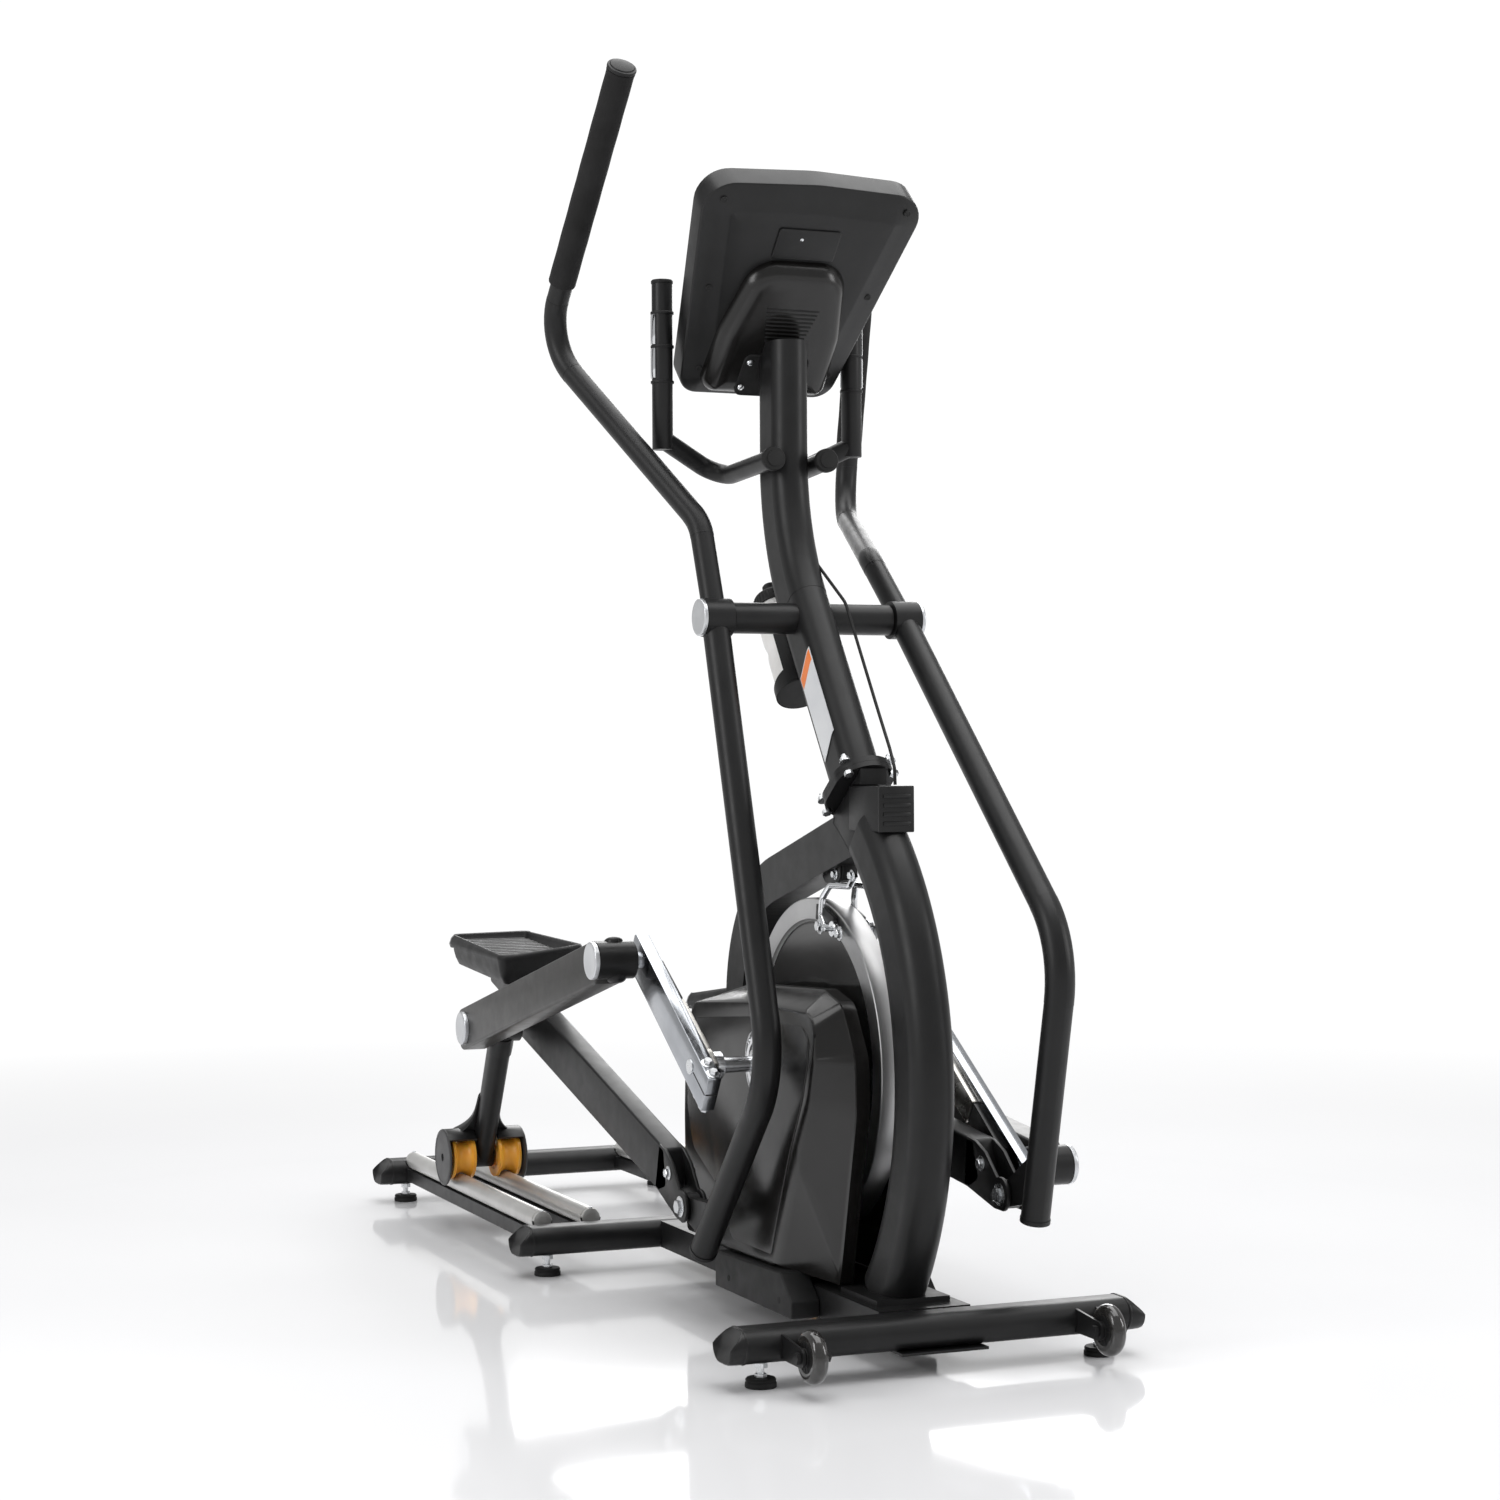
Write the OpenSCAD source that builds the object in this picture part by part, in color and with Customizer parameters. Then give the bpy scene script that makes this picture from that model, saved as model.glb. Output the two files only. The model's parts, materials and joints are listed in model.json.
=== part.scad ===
// Elliptical trainer with rear rail rollers, front flywheel and swinging hand levers.
// Millimetres. +X is forward (flywheel and console end), +Y is the user's left, +Z is up.
// Inside the modules X = 0 is the front pair of feet; place() moves everything so that
// X = 0 of the finished part is the middle of its length.

/* [Frame] */
// Distance from the front feet back to the rear feet
wheelbase = 1900; // [1500:10:2200]
// Distance from the front feet back to the middle feet
mid_feet = 974; // [800:1:1100]
// Length of the three cross tubes without their end caps
stab_len = 620; // [450:5:760]
// Side offset of the levelling feet from the middle
foot_y = 275.6; // [200:0.1:320]
// Width of the flat base beam
beam_w = 150; // [100:2:200]
// Wall of the large frame tubes
wall = 3; // [2:0.5:5]

/* [Drive] */
// Height of the crank axle above the floor
axle_z = 418; // [350:1:480]
// Distance of the crank axle behind the front feet
axle_back = 395; // [330:1:450]
// Throw of the crank, axle centre to pin centre
crank_r = 285; // [180:1:300]
// Crank angle of the right-hand pin, from forward, going up
crank_phase = 147.5; // [120:0.5:170]
// Outer radius of the flywheel
fly_r = 260; // [180:1:262]
// Width of the flywheel rim
fly_w = 38; // [20:1:42]
// Radius of the large belt pulley on the crank axle
pulley_r = 100; // [80:1:100]

/* [Linkage] */
// Height of the swing lever pivot
pivot_z = 1125; // [1000:1:1250]
// Swing lever length from its pivot to the lower joint
lever_len = 960; // [850:1:1020]
// Rest angle of the right swing lever, forward of straight down
lever_rest = -7.1; // [-12:0.1:0]
// Height of the roller axles
roller_z = 137; // [120:1:150]
// Distance of the right roller axle behind the front feet, at rest
roller_back = 1530; // [1450:1:1600]
// Side offset of the plane of the swing levers and footplate links
lever_y = 165; // [150:1:175]
// Width of one footplate
plate_w = 168; // [120:1:172]
// Length of one footplate
plate_l = 345; // [280:1:380]

/* [Hand levers and console] */
// Diameter of the lower swing lever tube
lever_d = 44; // [34:1:46]
// Diameter of the upper hand lever tube
hand_d = 38; // [28:1:42]
// Diameter of the foam grips
grip_d = 46; // [40:1:54]
// Half width of the console along its top edge
console_top = 198; // [140:1:220]
// Half width of the console along its bottom edge
console_bot = 136; // [100:1:180]
// Height of the console along its face
console_h = 412; // [300:1:440]

/* [Hidden] */
$fn = 64;
eps = 0.4;
x_off = (wheelbase + 38 - 136.5) / 2;
C = [-axle_back, axle_z];
S = [-441.6, pivot_z];
phs = [crank_phase, crank_phase + 180];
function pin(a) = [C[0] + crank_r * cos(a), C[1] + crank_r * sin(a)];
P1r = pin(phs[0]);
P1l = pin(phs[1]);
Rr = [-roller_back, roller_z];
arm_len = norm(P1r - Rr);
Rl = [P1l[0] - sqrt(arm_len * arm_len - pow(P1l[1] - roller_z, 2)), roller_z];
arm_r = atan2(P1r[1] - Rr[1], P1r[0] - Rr[0]);
arm_l = atan2(P1l[1] - Rl[1], P1l[0] - Rl[0]);
function rot2(v, a) = [v[0] * cos(a) - v[1] * sin(a), v[0] * sin(a) + v[1] * cos(a)];
// rear joint of the footplate link, fixed in the roller arm
P2r = [-1393, 397];
p2_arm = rot2(P2r - Rr, -arm_r);
P2l = Rl + rot2(p2_arm, arm_l);
Fr = [S[0] + lever_len * sin(lever_rest), S[1] - lever_len * cos(lever_rest)];
link_len = norm(Fr - P2r);
// left lower joint: where the link circle meets the lever circle
d_sp = norm(P2l - S);
u_sp = (P2l - S) / d_sp;
a_sp = (lever_len * lever_len - link_len * link_len + d_sp * d_sp) / (2 * d_sp);
h_sp = sqrt(lever_len * lever_len - a_sp * a_sp);
Fl = S + a_sp * u_sp + h_sp * [-u_sp[1], u_sp[0]];
lever_l = atan2(Fl[0] - S[0], S[1] - Fl[1]);
link_r = atan2(Fr[1] - P2r[1], Fr[0] - P2r[0]);
link_l = atan2(Fl[1] - P2l[1], Fl[0] - P2l[0]);
beam_a = atan2(P1r[1] - P2r[1], P1r[0] - P2r[0]) - arm_r;
beam_len = norm(P1r - P2r);
J = [-600, 330];
rail_z = 88;
rail_r = 17;
mast_lean = 35.6;

module place() translate([x_off, 0, 0]) children();
// cylinder along Y from y0 to y1, centred on the plane point p
module ycyl(p, y0, y1, r) translate([p[0], y0, p[1]]) rotate([-90, 0, 0]) cylinder(r = r, h = y1 - y0);
// extrude a side view (X, Z) from y0 to y1
module side(y0, y1) translate([0, y1, 0]) rotate([90, 0, 0]) linear_extrude(height = y1 - y0) children();
// flat profile with two half-round ends, w across X and h across Y
module pill(w, h) {
    if (w > h) { square([w - h, h], center = true);
        for (s = [-1, 1]) translate([s * (w - h) / 2, 0]) circle(d = h); }
    else { square([w, h - w], center = true);
        for (s = [-1, 1]) translate([0, s * (h - w) / 2]) circle(d = w); }
}
function unit(v) = v / norm(v);
// round bar through a list of points with bends of the given radii
module bar(p, rad, r, g = 0.06) {
    n = len(p);
    t = [for (i = [0:n - 1]) (i == 0 || i == n - 1) ? 0
        : rad[i] * tan(acos(unit(p[i] - p[i - 1]) * unit(p[i + 1] - p[i])) / 2)];
    for (i = [0:n - 2]) {
        u = unit(p[i + 1] - p[i]);
        stick(p[i] + u * max(0, t[i] - 0.6), p[i + 1] - u * max(0, t[i + 1] - 0.6), r);
    }
    for (i = [1:n - 2]) {
        u = unit(p[i] - p[i - 1]);
        v = unit(p[i + 1] - p[i]);
        m = unit(v - (u * v) * u);
        c = p[i] - u * t[i] + m * rad[i];
        w = cross(-m, u);
        multmatrix([[-m[0], u[0], w[0], c[0]], [-m[1], u[1], w[1], c[1]], [-m[2], u[2], w[2], c[2]],
            [0, 0, 0, 1]])
            rotate_extrude(angle = acos(u * v)) translate([rad[i], 0]) circle(r = r + g);
    }
}
module stick(a, b, r) {
    d = b - a;
    translate(a) rotate([0, acos(d[2] / norm(d)), atan2(d[1], d[0])]) cylinder(r = r, h = norm(d));
}
// round cap turned about Y: flat back at y0, domed edge outward by t; s is the side
module capdisc(p, y0, t, r, s) translate([p[0], s * y0, p[1]]) rotate([s * -90, 0, 0])
    rotate_extrude() { square([r - 3, t]); square([r, t - 3]); translate([r - 3, t - 3]) circle(r = 3); }
module hexhead(r, h) cylinder(r = r, h = h, $fn = 6);
// put a part drawn in its own lever or link frame (X along, Z up) at a plane point
module at(p, a) translate([p[0], 0, p[1]]) rotate([0, -a, 0]) children();

// ---------------------------------------------------------------- base frame
module cross_bar(x) translate([x, 0, 62]) rotate([90, 0, 0]) difference() {
    linear_extrude(height = stab_len, center = true) pill(74, 50);
    linear_extrude(height = stab_len + 2, center = true) pill(74 - 2 * wall, 50 - 2 * wall);
    for (s = [-1, 1]) translate([0, -10, s * foot_y]) rotate([90, 0, 0]) cylinder(r = 5.6, h = 40);
}
// room around a cross tube for the parts welded up to it
module stab_cut(x) translate([x, 0, 62]) rotate([90, 0, 0])
    linear_extrude(height = stab_len + 2, center = true) pill(74.8, 50.8);
module front_stabiliser() place() color("#1b1c1e") {
    cross_bar(0);
    translate([-50, -70, 33]) cube([90, 140, 4]);
}
module mid_stabiliser() place() color("#1b1c1e") cross_bar(-mid_feet);
module rear_stabiliser() place() color("#1b1c1e") cross_bar(-wheelbase);
module stabiliser_caps() place() color("#121315")
    for (x = [0, -mid_feet, -wheelbase], s = [-1, 1]) translate([x, s * stab_len / 2, 62]) {
        rotate([s * -90, 0, 0]) linear_extrude(height = 2) pill(76, 52);
        difference() {
            rotate([s * -90, 0, 0]) linear_extrude(height = 27) pill(74, 50);
            translate([0, s * 27, 14]) rotate([s * -32, 0, 0]) translate([0, s * 20, 0])
                cube([90, 40, 90], center = true);
        }
        rotate([s * 90, 0, 0]) linear_extrude(height = 22) pill(74 - 2 * wall - 1, 50 - 2 * wall - 1);
    }
module base_beam() place() color("#1b1c1e") difference() {
    translate([-mid_feet + 30, -beam_w / 2, 40]) cube([mid_feet - 60, beam_w, 46]);
    translate([-mid_feet + 28, -beam_w / 2 + wall, 40 + wall]) cube([mid_feet, beam_w - 2 * wall, 40]);
    stab_cut(0);
    stab_cut(-mid_feet);
}
post_c = [-524, 409];
module sweep_y(c, r, a0, a1) translate([c[0], 0, c[1]]) rotate([90, 0, 0]) rotate([0, 0, a0])
    rotate_extrude(angle = a1 - a0) translate([r, 0]) children();
module front_post() place() color("#1b1c1e") difference() {
    union() {
        sweep_y(post_c, 496, -40.5, 49) pill(112, 70);
        translate([-200, -60, 86]) cube([132, 120, 8]);
    }
    sweep_y(post_c, 496, -43, 51) pill(112 - 2 * wall, 70 - 2 * wall);
    translate([-340, -100, 10]) cube([330, 200, 76]);
}
arch_c = [-493, 486];
function arc(c, r, a0, a1, n) = [for (i = [0:n]) c + r * [cos(a0 + (a1 - a0) * i / n), sin(a0 + (a1 - a0) * i / n)]];
// side outline: upright rear, one bend, then a straight top sloping down to the front
function arch_pts(w, e) = concat([[arch_c[0] - 223 - w, 86 - e]], arc(arch_c, 223 + w, 180, 105, 20),
    [arch_c + (223 + w) * [cos(105), sin(105)] + 350 * [cos(15), sin(15)],
     arch_c + (223 - w) * [cos(105), sin(105)] + 350 * [cos(15), sin(15)]],
    arc(arch_c, 223 - w, 105, 180, 20), [[arch_c[0] - 223 + w, 86 - e]]);
module rear_arch() place() color("#1b1c1e") difference() {
    side(-25, 25) polygon(arch_pts(37, 0));
    side(-25 + wall, 25 - wall) polygon(arch_pts(37 - wall, 2));
    sweep_y(post_c, 496, 30, 60) pill(112.6, 70.6);
    translate([-200, -40, 700]) cube([120, 80, 200]);
}
module top_block() place() color("#17181a") {
    difference() {
        translate([-232, -29, 788]) cube([110, 58, 70]);
        translate([-231, -26, 791]) cube([120, 52, 64]);
        sweep_y(post_c, 496, 30, 60) pill(114, 72);
        flange_cut();
    }
    translate([-122, -29, 788]) cube([6, 58, 70]);
    for (i = [0:4]) translate([-116, -24, 796 + i * 12]) cube([2, 48, 6]);
}
fl = [-258, 856];
module flange_cut() at(fl, mast_lean) translate([-90, -60, -9.5]) cube([190, 120, 140]);
module flange_plates() place() color("#1b1c1e") {
    at(fl, mast_lean) {
        translate([0, 0, -9]) linear_extrude(height = 9) pill(140, 96);
        translate([0, 0, 0.4]) linear_extrude(height = 9) pill(140, 96);
    }
    side(-22, 22) polygon([[-300, 808.5], [-300, 813], [-201, 884], [-201, 859.6], [-231, 859.6], [-231, 827]]);
}
module flange_bolts() place() color("#b9bcc0") at(fl, mast_lean)
    for (x = [-52, 52], s = [-1, 1]) translate([x, s * 38, 0]) {
        translate([0, 0, 9.5]) { cylinder(r = 9, h = 1.6); hexhead(7.5, 8); cylinder(r = 4, h = 13); }
        translate([0, 0, -15.5]) hexhead(7.5, 6.4);
    }
mast_x = -548;
module mast_solid(w, h, cap, g) {
    // lower straight, bend and upright top
    at(fl, mast_lean) translate([0, 0, 9.6 - cap]) linear_extrude(height = 350.3 + cap) pill(w, h);
    translate([-115, 0, 1400]) rotate([90, 0, 0]) rotate([0, 0, 180])
        rotate_extrude(angle = mast_lean) translate([433, 0]) pill(w + g, h + g);
    translate([mast_x, 0, 1399.2]) linear_extrude(height = 185.8 + cap) pill(w, h);
}
module mast() place() color("#1b1c1e") difference() {
    mast_solid(104, 62, 0, 0.9);
    mast_solid(104 - 2 * wall, 62 - 2 * wall, 2, -0.9);
    ycyl(S, -40, 40, 25.2);
    translate([-470, 30, 1218]) rotate([90, 0, 0]) cylinder(r = 5, h = 12, center = true);
}
module foot_pads() place() color("#141414")
    for (x = [0, -mid_feet, -wheelbase], s = [-1, 1]) translate([x, s * foot_y, 0])
      rotate_extrude() difference() {
        union() { square([23, 8]); square([20, 14]); }
        translate([0, 4]) square([5.4, 20]);
        translate([23, 14]) circle(r = 4);
    }
module foot_studs() place() color("#b9bcc0")
    for (x = [0, -mid_feet, -wheelbase], s = [-1, 1]) translate([x, s * foot_y, 0]) {
        translate([0, 0, 4.4]) cylinder(r = 5, h = 48);
        translate([0, 0, 28]) hexhead(10, 7);
        translate([0, 0, 14.4]) hexhead(9, 5);
    }
module rail_bars() place() color("#1b1c1e")
    for (y = [180, 270], s = [-1, 1]) difference() {
        translate([-wheelbase + 30, s * y - 13, 46]) cube([wheelbase - mid_feet - 60, 26, 24]);
        translate([-wheelbase + 20, s * y - 11, 48]) cube([wheelbase - mid_feet, 22, 20]);
        stab_cut(-wheelbase);
        stab_cut(-mid_feet);
    }
module rail_tubes() place() color("#b4b7ba")
    for (y = [180, 270], s = [-1, 1]) translate([-wheelbase + 52, s * y, rail_z]) rotate([0, 90, 0])
        difference() {
            cylinder(r = rail_r, h = wheelbase - mid_feet - 104);
            translate([0, 0, -1]) cylinder(r = rail_r - 2.5, h = wheelbase);
        }
module rail_caps() place() for (y = [180, 270], s = [-1, 1], e = [0, 1])
    translate([e == 0 ? -wheelbase + 51 : -mid_feet - 51, s * y, rail_z]) {
        m = e == 0 ? -1 : 1;
        color("#131416") rotate([0, m * 90, 0]) { cylinder(r = rail_r + 0.1, h = 9);
            translate([0, 0, -16]) cylinder(r = rail_r - 2.8, h = 16); }
        color("#b9bcc0") translate([m * 5, 0, rail_r - 1]) cylinder(r = 3.5, h = 3);
    }
module wheel_brackets() place() {
    for (s = [-1, 1]) {
        color("#1b1c1e") for (k = [-1, 1]) difference() {
            side(s * 237.5 + k * 17 - 2, s * 237.5 + k * 17 + 2) {
                polygon([[24, 44], [98, 44], [98, 72], [24, 80]]);
                translate([98, 58]) circle(r = 14);
            }
            ycyl([98, 58], s * 237.5 - 30, s * 237.5 + 30, 5.2);
            stab_cut(0);
        }
        color("#b9bcc0") {
            ycyl([98, 58], s * 237.5 - 24, s * 237.5 + 24, 5);
            translate([98, s * 237.5 - 26, 58]) rotate([-90, 0, 0]) hexhead(9, 6);
            translate([98, s * 237.5 + 20, 58]) rotate([-90, 0, 0]) hexhead(9, 6);
        }
    }
}
module twheel(y) translate([98, y, 58]) rotate([90, 0, 0]) {
    color("#101010") rotate_extrude() difference() {
        union() { translate([26, -9]) square([8, 18]); translate([31, 0]) circle(r = 7.5);
            translate([22, -11]) square([8, 22]); translate([12, -3]) square([12, 6]); }
    }
    color("#8d9094") difference() {
        cylinder(r = 13, h = 26, center = true);
        cylinder(r = 5.4, h = 30, center = true);
    }
}
module wheel_right() place() twheel(-237.5);
module wheel_left() place() twheel(237.5);
module cross_tube() place() {
    color("#17181a") ycyl(S, -138, 138, 25);
    color("#9a9da1") for (s = [-1, 1]) ycyl(S, s > 0 ? 138 : -184, s > 0 ? 184 : -138, 12);
}

// ---------------------------------------------------------------- drive
module crank_axle() place() color("#c8cbce") ycyl(C, -229, 229, 12.5);
module crank_pulley() place() color("#26282b") difference() {
    union() { ycyl(C, 48, 62, pulley_r); ycyl(C, 44.5, 62.4, 30); }
    for (i = [0:5]) ycyl([C[0] + 63 * cos(i * 60), C[1] + 63 * sin(i * 60)], 40, 70, 19);
    ycyl(C, 40, 70, 12.9);
    for (y = [51, 55, 59]) translate([C[0], y, C[1]]) rotate([90, 0, 0]) rotate_extrude()
        translate([pulley_r - 0.6, 0]) circle(r = 1.4, $fn = 16);
}
module crank_bar(s, a) at(C, a) scale([1, s, 1]) {
    color("#cfd2d4") difference() {
        union() {
            side(207, 229) { translate([-70, -28]) square([crank_r + 70, 56]);
                translate([crank_r, 0]) circle(r = 28); translate([-70, 0]) circle(r = 28); }
            side(207, 229) circle(r = 31);
        }
        ycyl([0, 0], 200, 235, 12.9);
        side(200, 235) translate([-100, -1.6]) square([90, 3.2]);
        side(224, 230) translate([46, -10]) square([190, 20]);
        ycyl([-52, 0], 222, 235, 8);
    }
    color("#b9bcc0") { ycyl([crank_r, 0], 229, 252, 10);
        translate([-52, 218, -34]) cylinder(r = 5, h = 68); }
    color("#2a2c2f") side(196, 207) polygon([[60, -20], [crank_r - 30, -14], [crank_r - 30, 14], [60, 20]]);
}
module crank_right() place() crank_bar(-1, phs[0]);
module crank_left() place() crank_bar(1, phs[1]);
module axle_covers() place() color("#c8cbce") for (s = [-1, 1]) difference() {
    capdisc(C, 110.4, 6, 58, s);
    ycyl(C, -130, 130, 14);
}
module bearing_plates() place() color("#2b2d30") difference() {
    for (s = [-1, 1]) {
        side(s * 69 - 3, s * 69 + 3) { polygon([[-640, 86], [-300, 86], [-365, 430], [-430, 440], [-645, 350]]);
            translate(C) circle(r = 36); }
        ycyl(C, s > 0 ? 64.5 : -86, s > 0 ? 86 : -64.5, 30);
    }
    ycyl(C, -100, 100, 12.9);
    ycyl(J, 30, 100, 9.4);
    for (s = [-1, 1]) side(s * 69 - 5, s * 69 + 5) polygon([[-600, 120], [-360, 120], [-385, 300], [-560, 280]]);
}
module flywheel() place() translate([C[0], 0, C[1]]) rotate([90, 0, 0]) color("#8f9296")
  rotate_extrude() difference() {
    union() {
        translate([208, -fly_w / 2]) square([fly_r - 208, fly_w]);
        translate([60, -7]) square([150, 14]);
        translate([13.2, -16]) square([50, 32]);
        translate([13.2, -40]) square([22, 30]);
    }
    translate([fly_r - 1.5, fly_w / 2 - 0.01]) square([4, 4]);
}
module flywheel_disc() place() color("#0c0d0e") {
    for (s = [-1, 1]) difference() {
        ycyl(C, s > 0 ? 7.5 : -17.5, s > 0 ? 17.5 : -7.5, 207.4);
        ycyl(C, -50, 50, 64);
        translate([C[0], s * 22, C[1]]) rotate([90, 0, 0]) rotate_extrude() translate([140, 0]) circle(r = 8);
    }
}
// closed outline of a belt around two pulleys
function loop2(p, q, rp, rq) = let (d = norm(q - p), b = atan2(q[1] - p[1], q[0] - p[0]), k = acos((rp - rq) / d))
    concat(arc(p, rp, b + k, b + 360 - k, 30), arc(q, rq, b - k, b + k, 14));
module belt(p, q, rp, rq, y0, y1, t) difference() {
    side(y0, y1) polygon(loop2(p, q, rp + t, rq + t));
    side(y0 - 1, y1 + 1) polygon(loop2(p, q, rp, rq));
}
module jackshaft() place() color("#9a9da1") {
    ycyl(J, 24, 90, 9);
    ycyl(J, 26, 40, 58);
    ycyl(J, 40, 48, 16);
    ycyl(J, 48, 62, pulley_r / 5.9);
}
module belts() place() color("#0e0e0e") {
    belt(C, J, pulley_r + 1, pulley_r / 5.9 + 1, 49, 61, 3);
    belt(C, J, 36, 59, 28, 39, 3);
}
// brake hinge pin, just outside the rim
B = [C[0] + (fly_r + 18) * cos(66), C[1] + (fly_r + 18) * sin(66)];
module brake_mount() place() {
    color("#b9bcc0") for (s = [-1, 1]) {
        difference() {
            side(s * 30 - 2, s * 30 + 2) polygon([[-332, 722], [-330, 748], [-284, 760], [-262, 676],
                [-280, 656], [-302, 668]]);
            ycyl(B, -40, 40, 6.5);
        }
        ycyl([-308, 744], s > 0 ? 25 : -28, s > 0 ? 28 : -25, 9);
        translate([-308, s > 0 ? 32 : -38, 744]) rotate([-90, 0, 0]) hexhead(7.5, 6);
        ycyl([-250, 634], s > 0 ? 36 : -52, s > 0 ? 52 : -36, 11);
        translate([-250, s > 0 ? 52 : -57, 634]) rotate([-90, 0, 0]) hexhead(8, 5);
    }
    color("#c8cbce") for (s = [-1, 1])
        bar([[-306, s * 37, 716], [-268, s * 43, 700], [-250, s * 45, 640]], [0, 20, 0], 5.5);
}
module brake_shoe() place() color("#3a3d41") {
    for (s = [-1, 1]) side(s * 24.5 - 3, s * 24.5 + 3)
        polygon(concat(arc(C, 216, 42, 78, 18), arc(C, 252, 78, 67.8, 5),
            [C + 280 * [cos(67.8), sin(67.8)], C + 280 * [cos(64.2), sin(64.2)]], arc(C, 252, 64.2, 42, 10)));
    ycyl(B, -33, 33, 6);
}
shell_o = [[-712, 500], [-556, 531], [-255, 543], [-190, 526], [-139, 446], [-135, 366], [-154, 258],
    [-180, 150], [-204, 94], [-736, 94], [-742, 180], [-745, 300], [-738, 440]];
shell_i = [[-708, 496], [-555, 526], [-256, 538], [-193, 522], [-144, 445], [-140, 366], [-159, 259],
    [-185, 151], [-209, 99], [-731, 99], [-737, 180], [-740, 300], [-733, 438]];
shell_b = [[-690, 492], [-435, 512], [-212, 512], [-168, 500], [-149, 446], [-145, 366], [-164, 258],
    [-192, 155], [-212, 106], [-724, 106], [-730, 180], [-733, 300], [-726, 430]];
shell_c = [[-684, 484], [-435, 503], [-218, 503], [-176, 490], [-158, 445], [-154, 366], [-173, 258],
    [-201, 154], [-220, 116], [-716, 116], [-721, 184], [-724, 300], [-717, 424]];
module shell(s) place() color("#0f1011") difference() {
    union() {
        side(s > 0 ? 38 : -102, s > 0 ? 102 : -38) polygon(shell_o);
        side(s > 0 ? 101 : -110, s > 0 ? 110 : -101) polygon(shell_b);
    }
    side(s > 0 ? 30 : -98, s > 0 ? 98 : -30) polygon(shell_i);
    side(s > 0 ? 96 : -106, s > 0 ? 106 : -96) polygon(shell_c);
    ycyl(C, -120, 120, 20);
    translate([-645, s * 69 - 4.5, 80]) cube([350, 9, 30]);
}
module shell_right() shell(-1);
module shell_left() shell(1);
module foot_covers() place() color("#141517") for (s = [-1, 1]) difference() {
    side(s > 0 ? 76 : -124, s > 0 ? 124 : -76) polygon([[-560, 40], [-150, 40], [-150, 74], [-215, 93], [-560, 93]]);
    side(s > 0 ? 70 : -120, s > 0 ? 120 : -70) polygon([[-556, 30], [-154, 30], [-154, 71], [-217, 89], [-556, 89]]);
    for (x = [-500, -210]) ycyl([x, 62], -140, 140, 3);
}

// ---------------------------------------------------------------- swing levers
// lever frame: [forward, down, side]; turned so that "down" meets the lower joint
function lv(f, d, y, a, s) = [S[0] + f * cos(a) + d * sin(a), s * y, S[1] - d * cos(a) + f * sin(a)];
module lever(s, a) {
    ly = lever_y;
    low = [lv(2, 6, ly, a, s), lv(311, 672, ly, a, s), lv(64, 1013, ly, a, s)];
    up = [lv(-2, -4, ly, a, s), lv(-77, -147, ly + 2, a, s), lv(-443, -432, 318, a, s), lv(-132, -856, 310, a, s)];
    color("#1b1c1e") {
        difference() {
            union() {
                bar(low, [0, 150, 0], lever_d / 2, 0.35);
                bar(up, [0, 90, 90, 0], hand_d / 2, 0.35);
                ycyl(S, s > 0 ? 141 : -187, s > 0 ? 187 : -141, 31);
            }
            bar(low, [0, 150, 0], lever_d / 2 - 2.5, -0.35);
            bar(up, [0, 90, 90, 0], hand_d / 2 - 2.5, -0.35);
            ycyl(S, -240, 240, 12.8);
        }
        difference() {
            at(S, a) translate([0, s * ly - 10, 0]) rotate([-90, 0, 0]) linear_extrude(height = 20) {
                translate([0, lever_len]) circle(r = 22);
                polygon([[-18, lever_len - 12], [92, lever_len - 30], [72, lever_len + 34], [6, lever_len + 21]]);
            }
            bar(low, [0, 150, 0], lever_d / 2 - 2.5, -0.35);
            ycyl(S + lever_len * [sin(a), -cos(a)], -240, 240, 8);
        }
    }
    color("#9a9da1") ycyl(S + lever_len * [sin(a), -cos(a)], s * ly - 10.6, s * ly + 10.6, 8);
    color("#131416") {
        e = unit(low[2] - low[1]);
        stick(low[2] + e * 0.2, low[2] + e * 7, lever_d / 2 + 1);
        stick(low[2] - e * 18, low[2] + e * 1, lever_d / 2 - 3);
    }
}
module lever_right() place() lever(-1, lever_rest);
module lever_left() place() lever(1, lever_l);
module lever_caps() place() color("#c5c8cb") for (s = [-1, 1]) difference() {
    capdisc(S, 187.8, 6, 30, s);
    translate([S[0], s * 195, S[1]]) rotate([90, 0, 0]) rotate_extrude() translate([22, 0]) circle(r = 1.6);
}
module grip(s, a) {
    g = lv(-372, -529, 317, a, s);
    t = lv(-132, -856, 310, a, s);
    u = unit(t - g);
    color("#232427") difference() {
        union() { stick(g, t + u * 1, grip_d / 2); stick(g - u * 4, g + u * 2, grip_d / 2 - 1.5); }
        stick(g - u * 20, t + u * 5, hand_d / 2 + 0.9);
    }
    color("#161719") {
        stick(t + u * 1.2, t + u * 7, grip_d / 2 + 0.8);
        stick(t + u * 7, t + u * 10, grip_d / 2 - 4);
        stick(t - u * 16, t + u * 2, hand_d / 2 - 3.5); }
}
module hand_grip_right() place() grip(-1, lever_rest);
module hand_grip_left() place() grip(1, lever_l);

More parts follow.
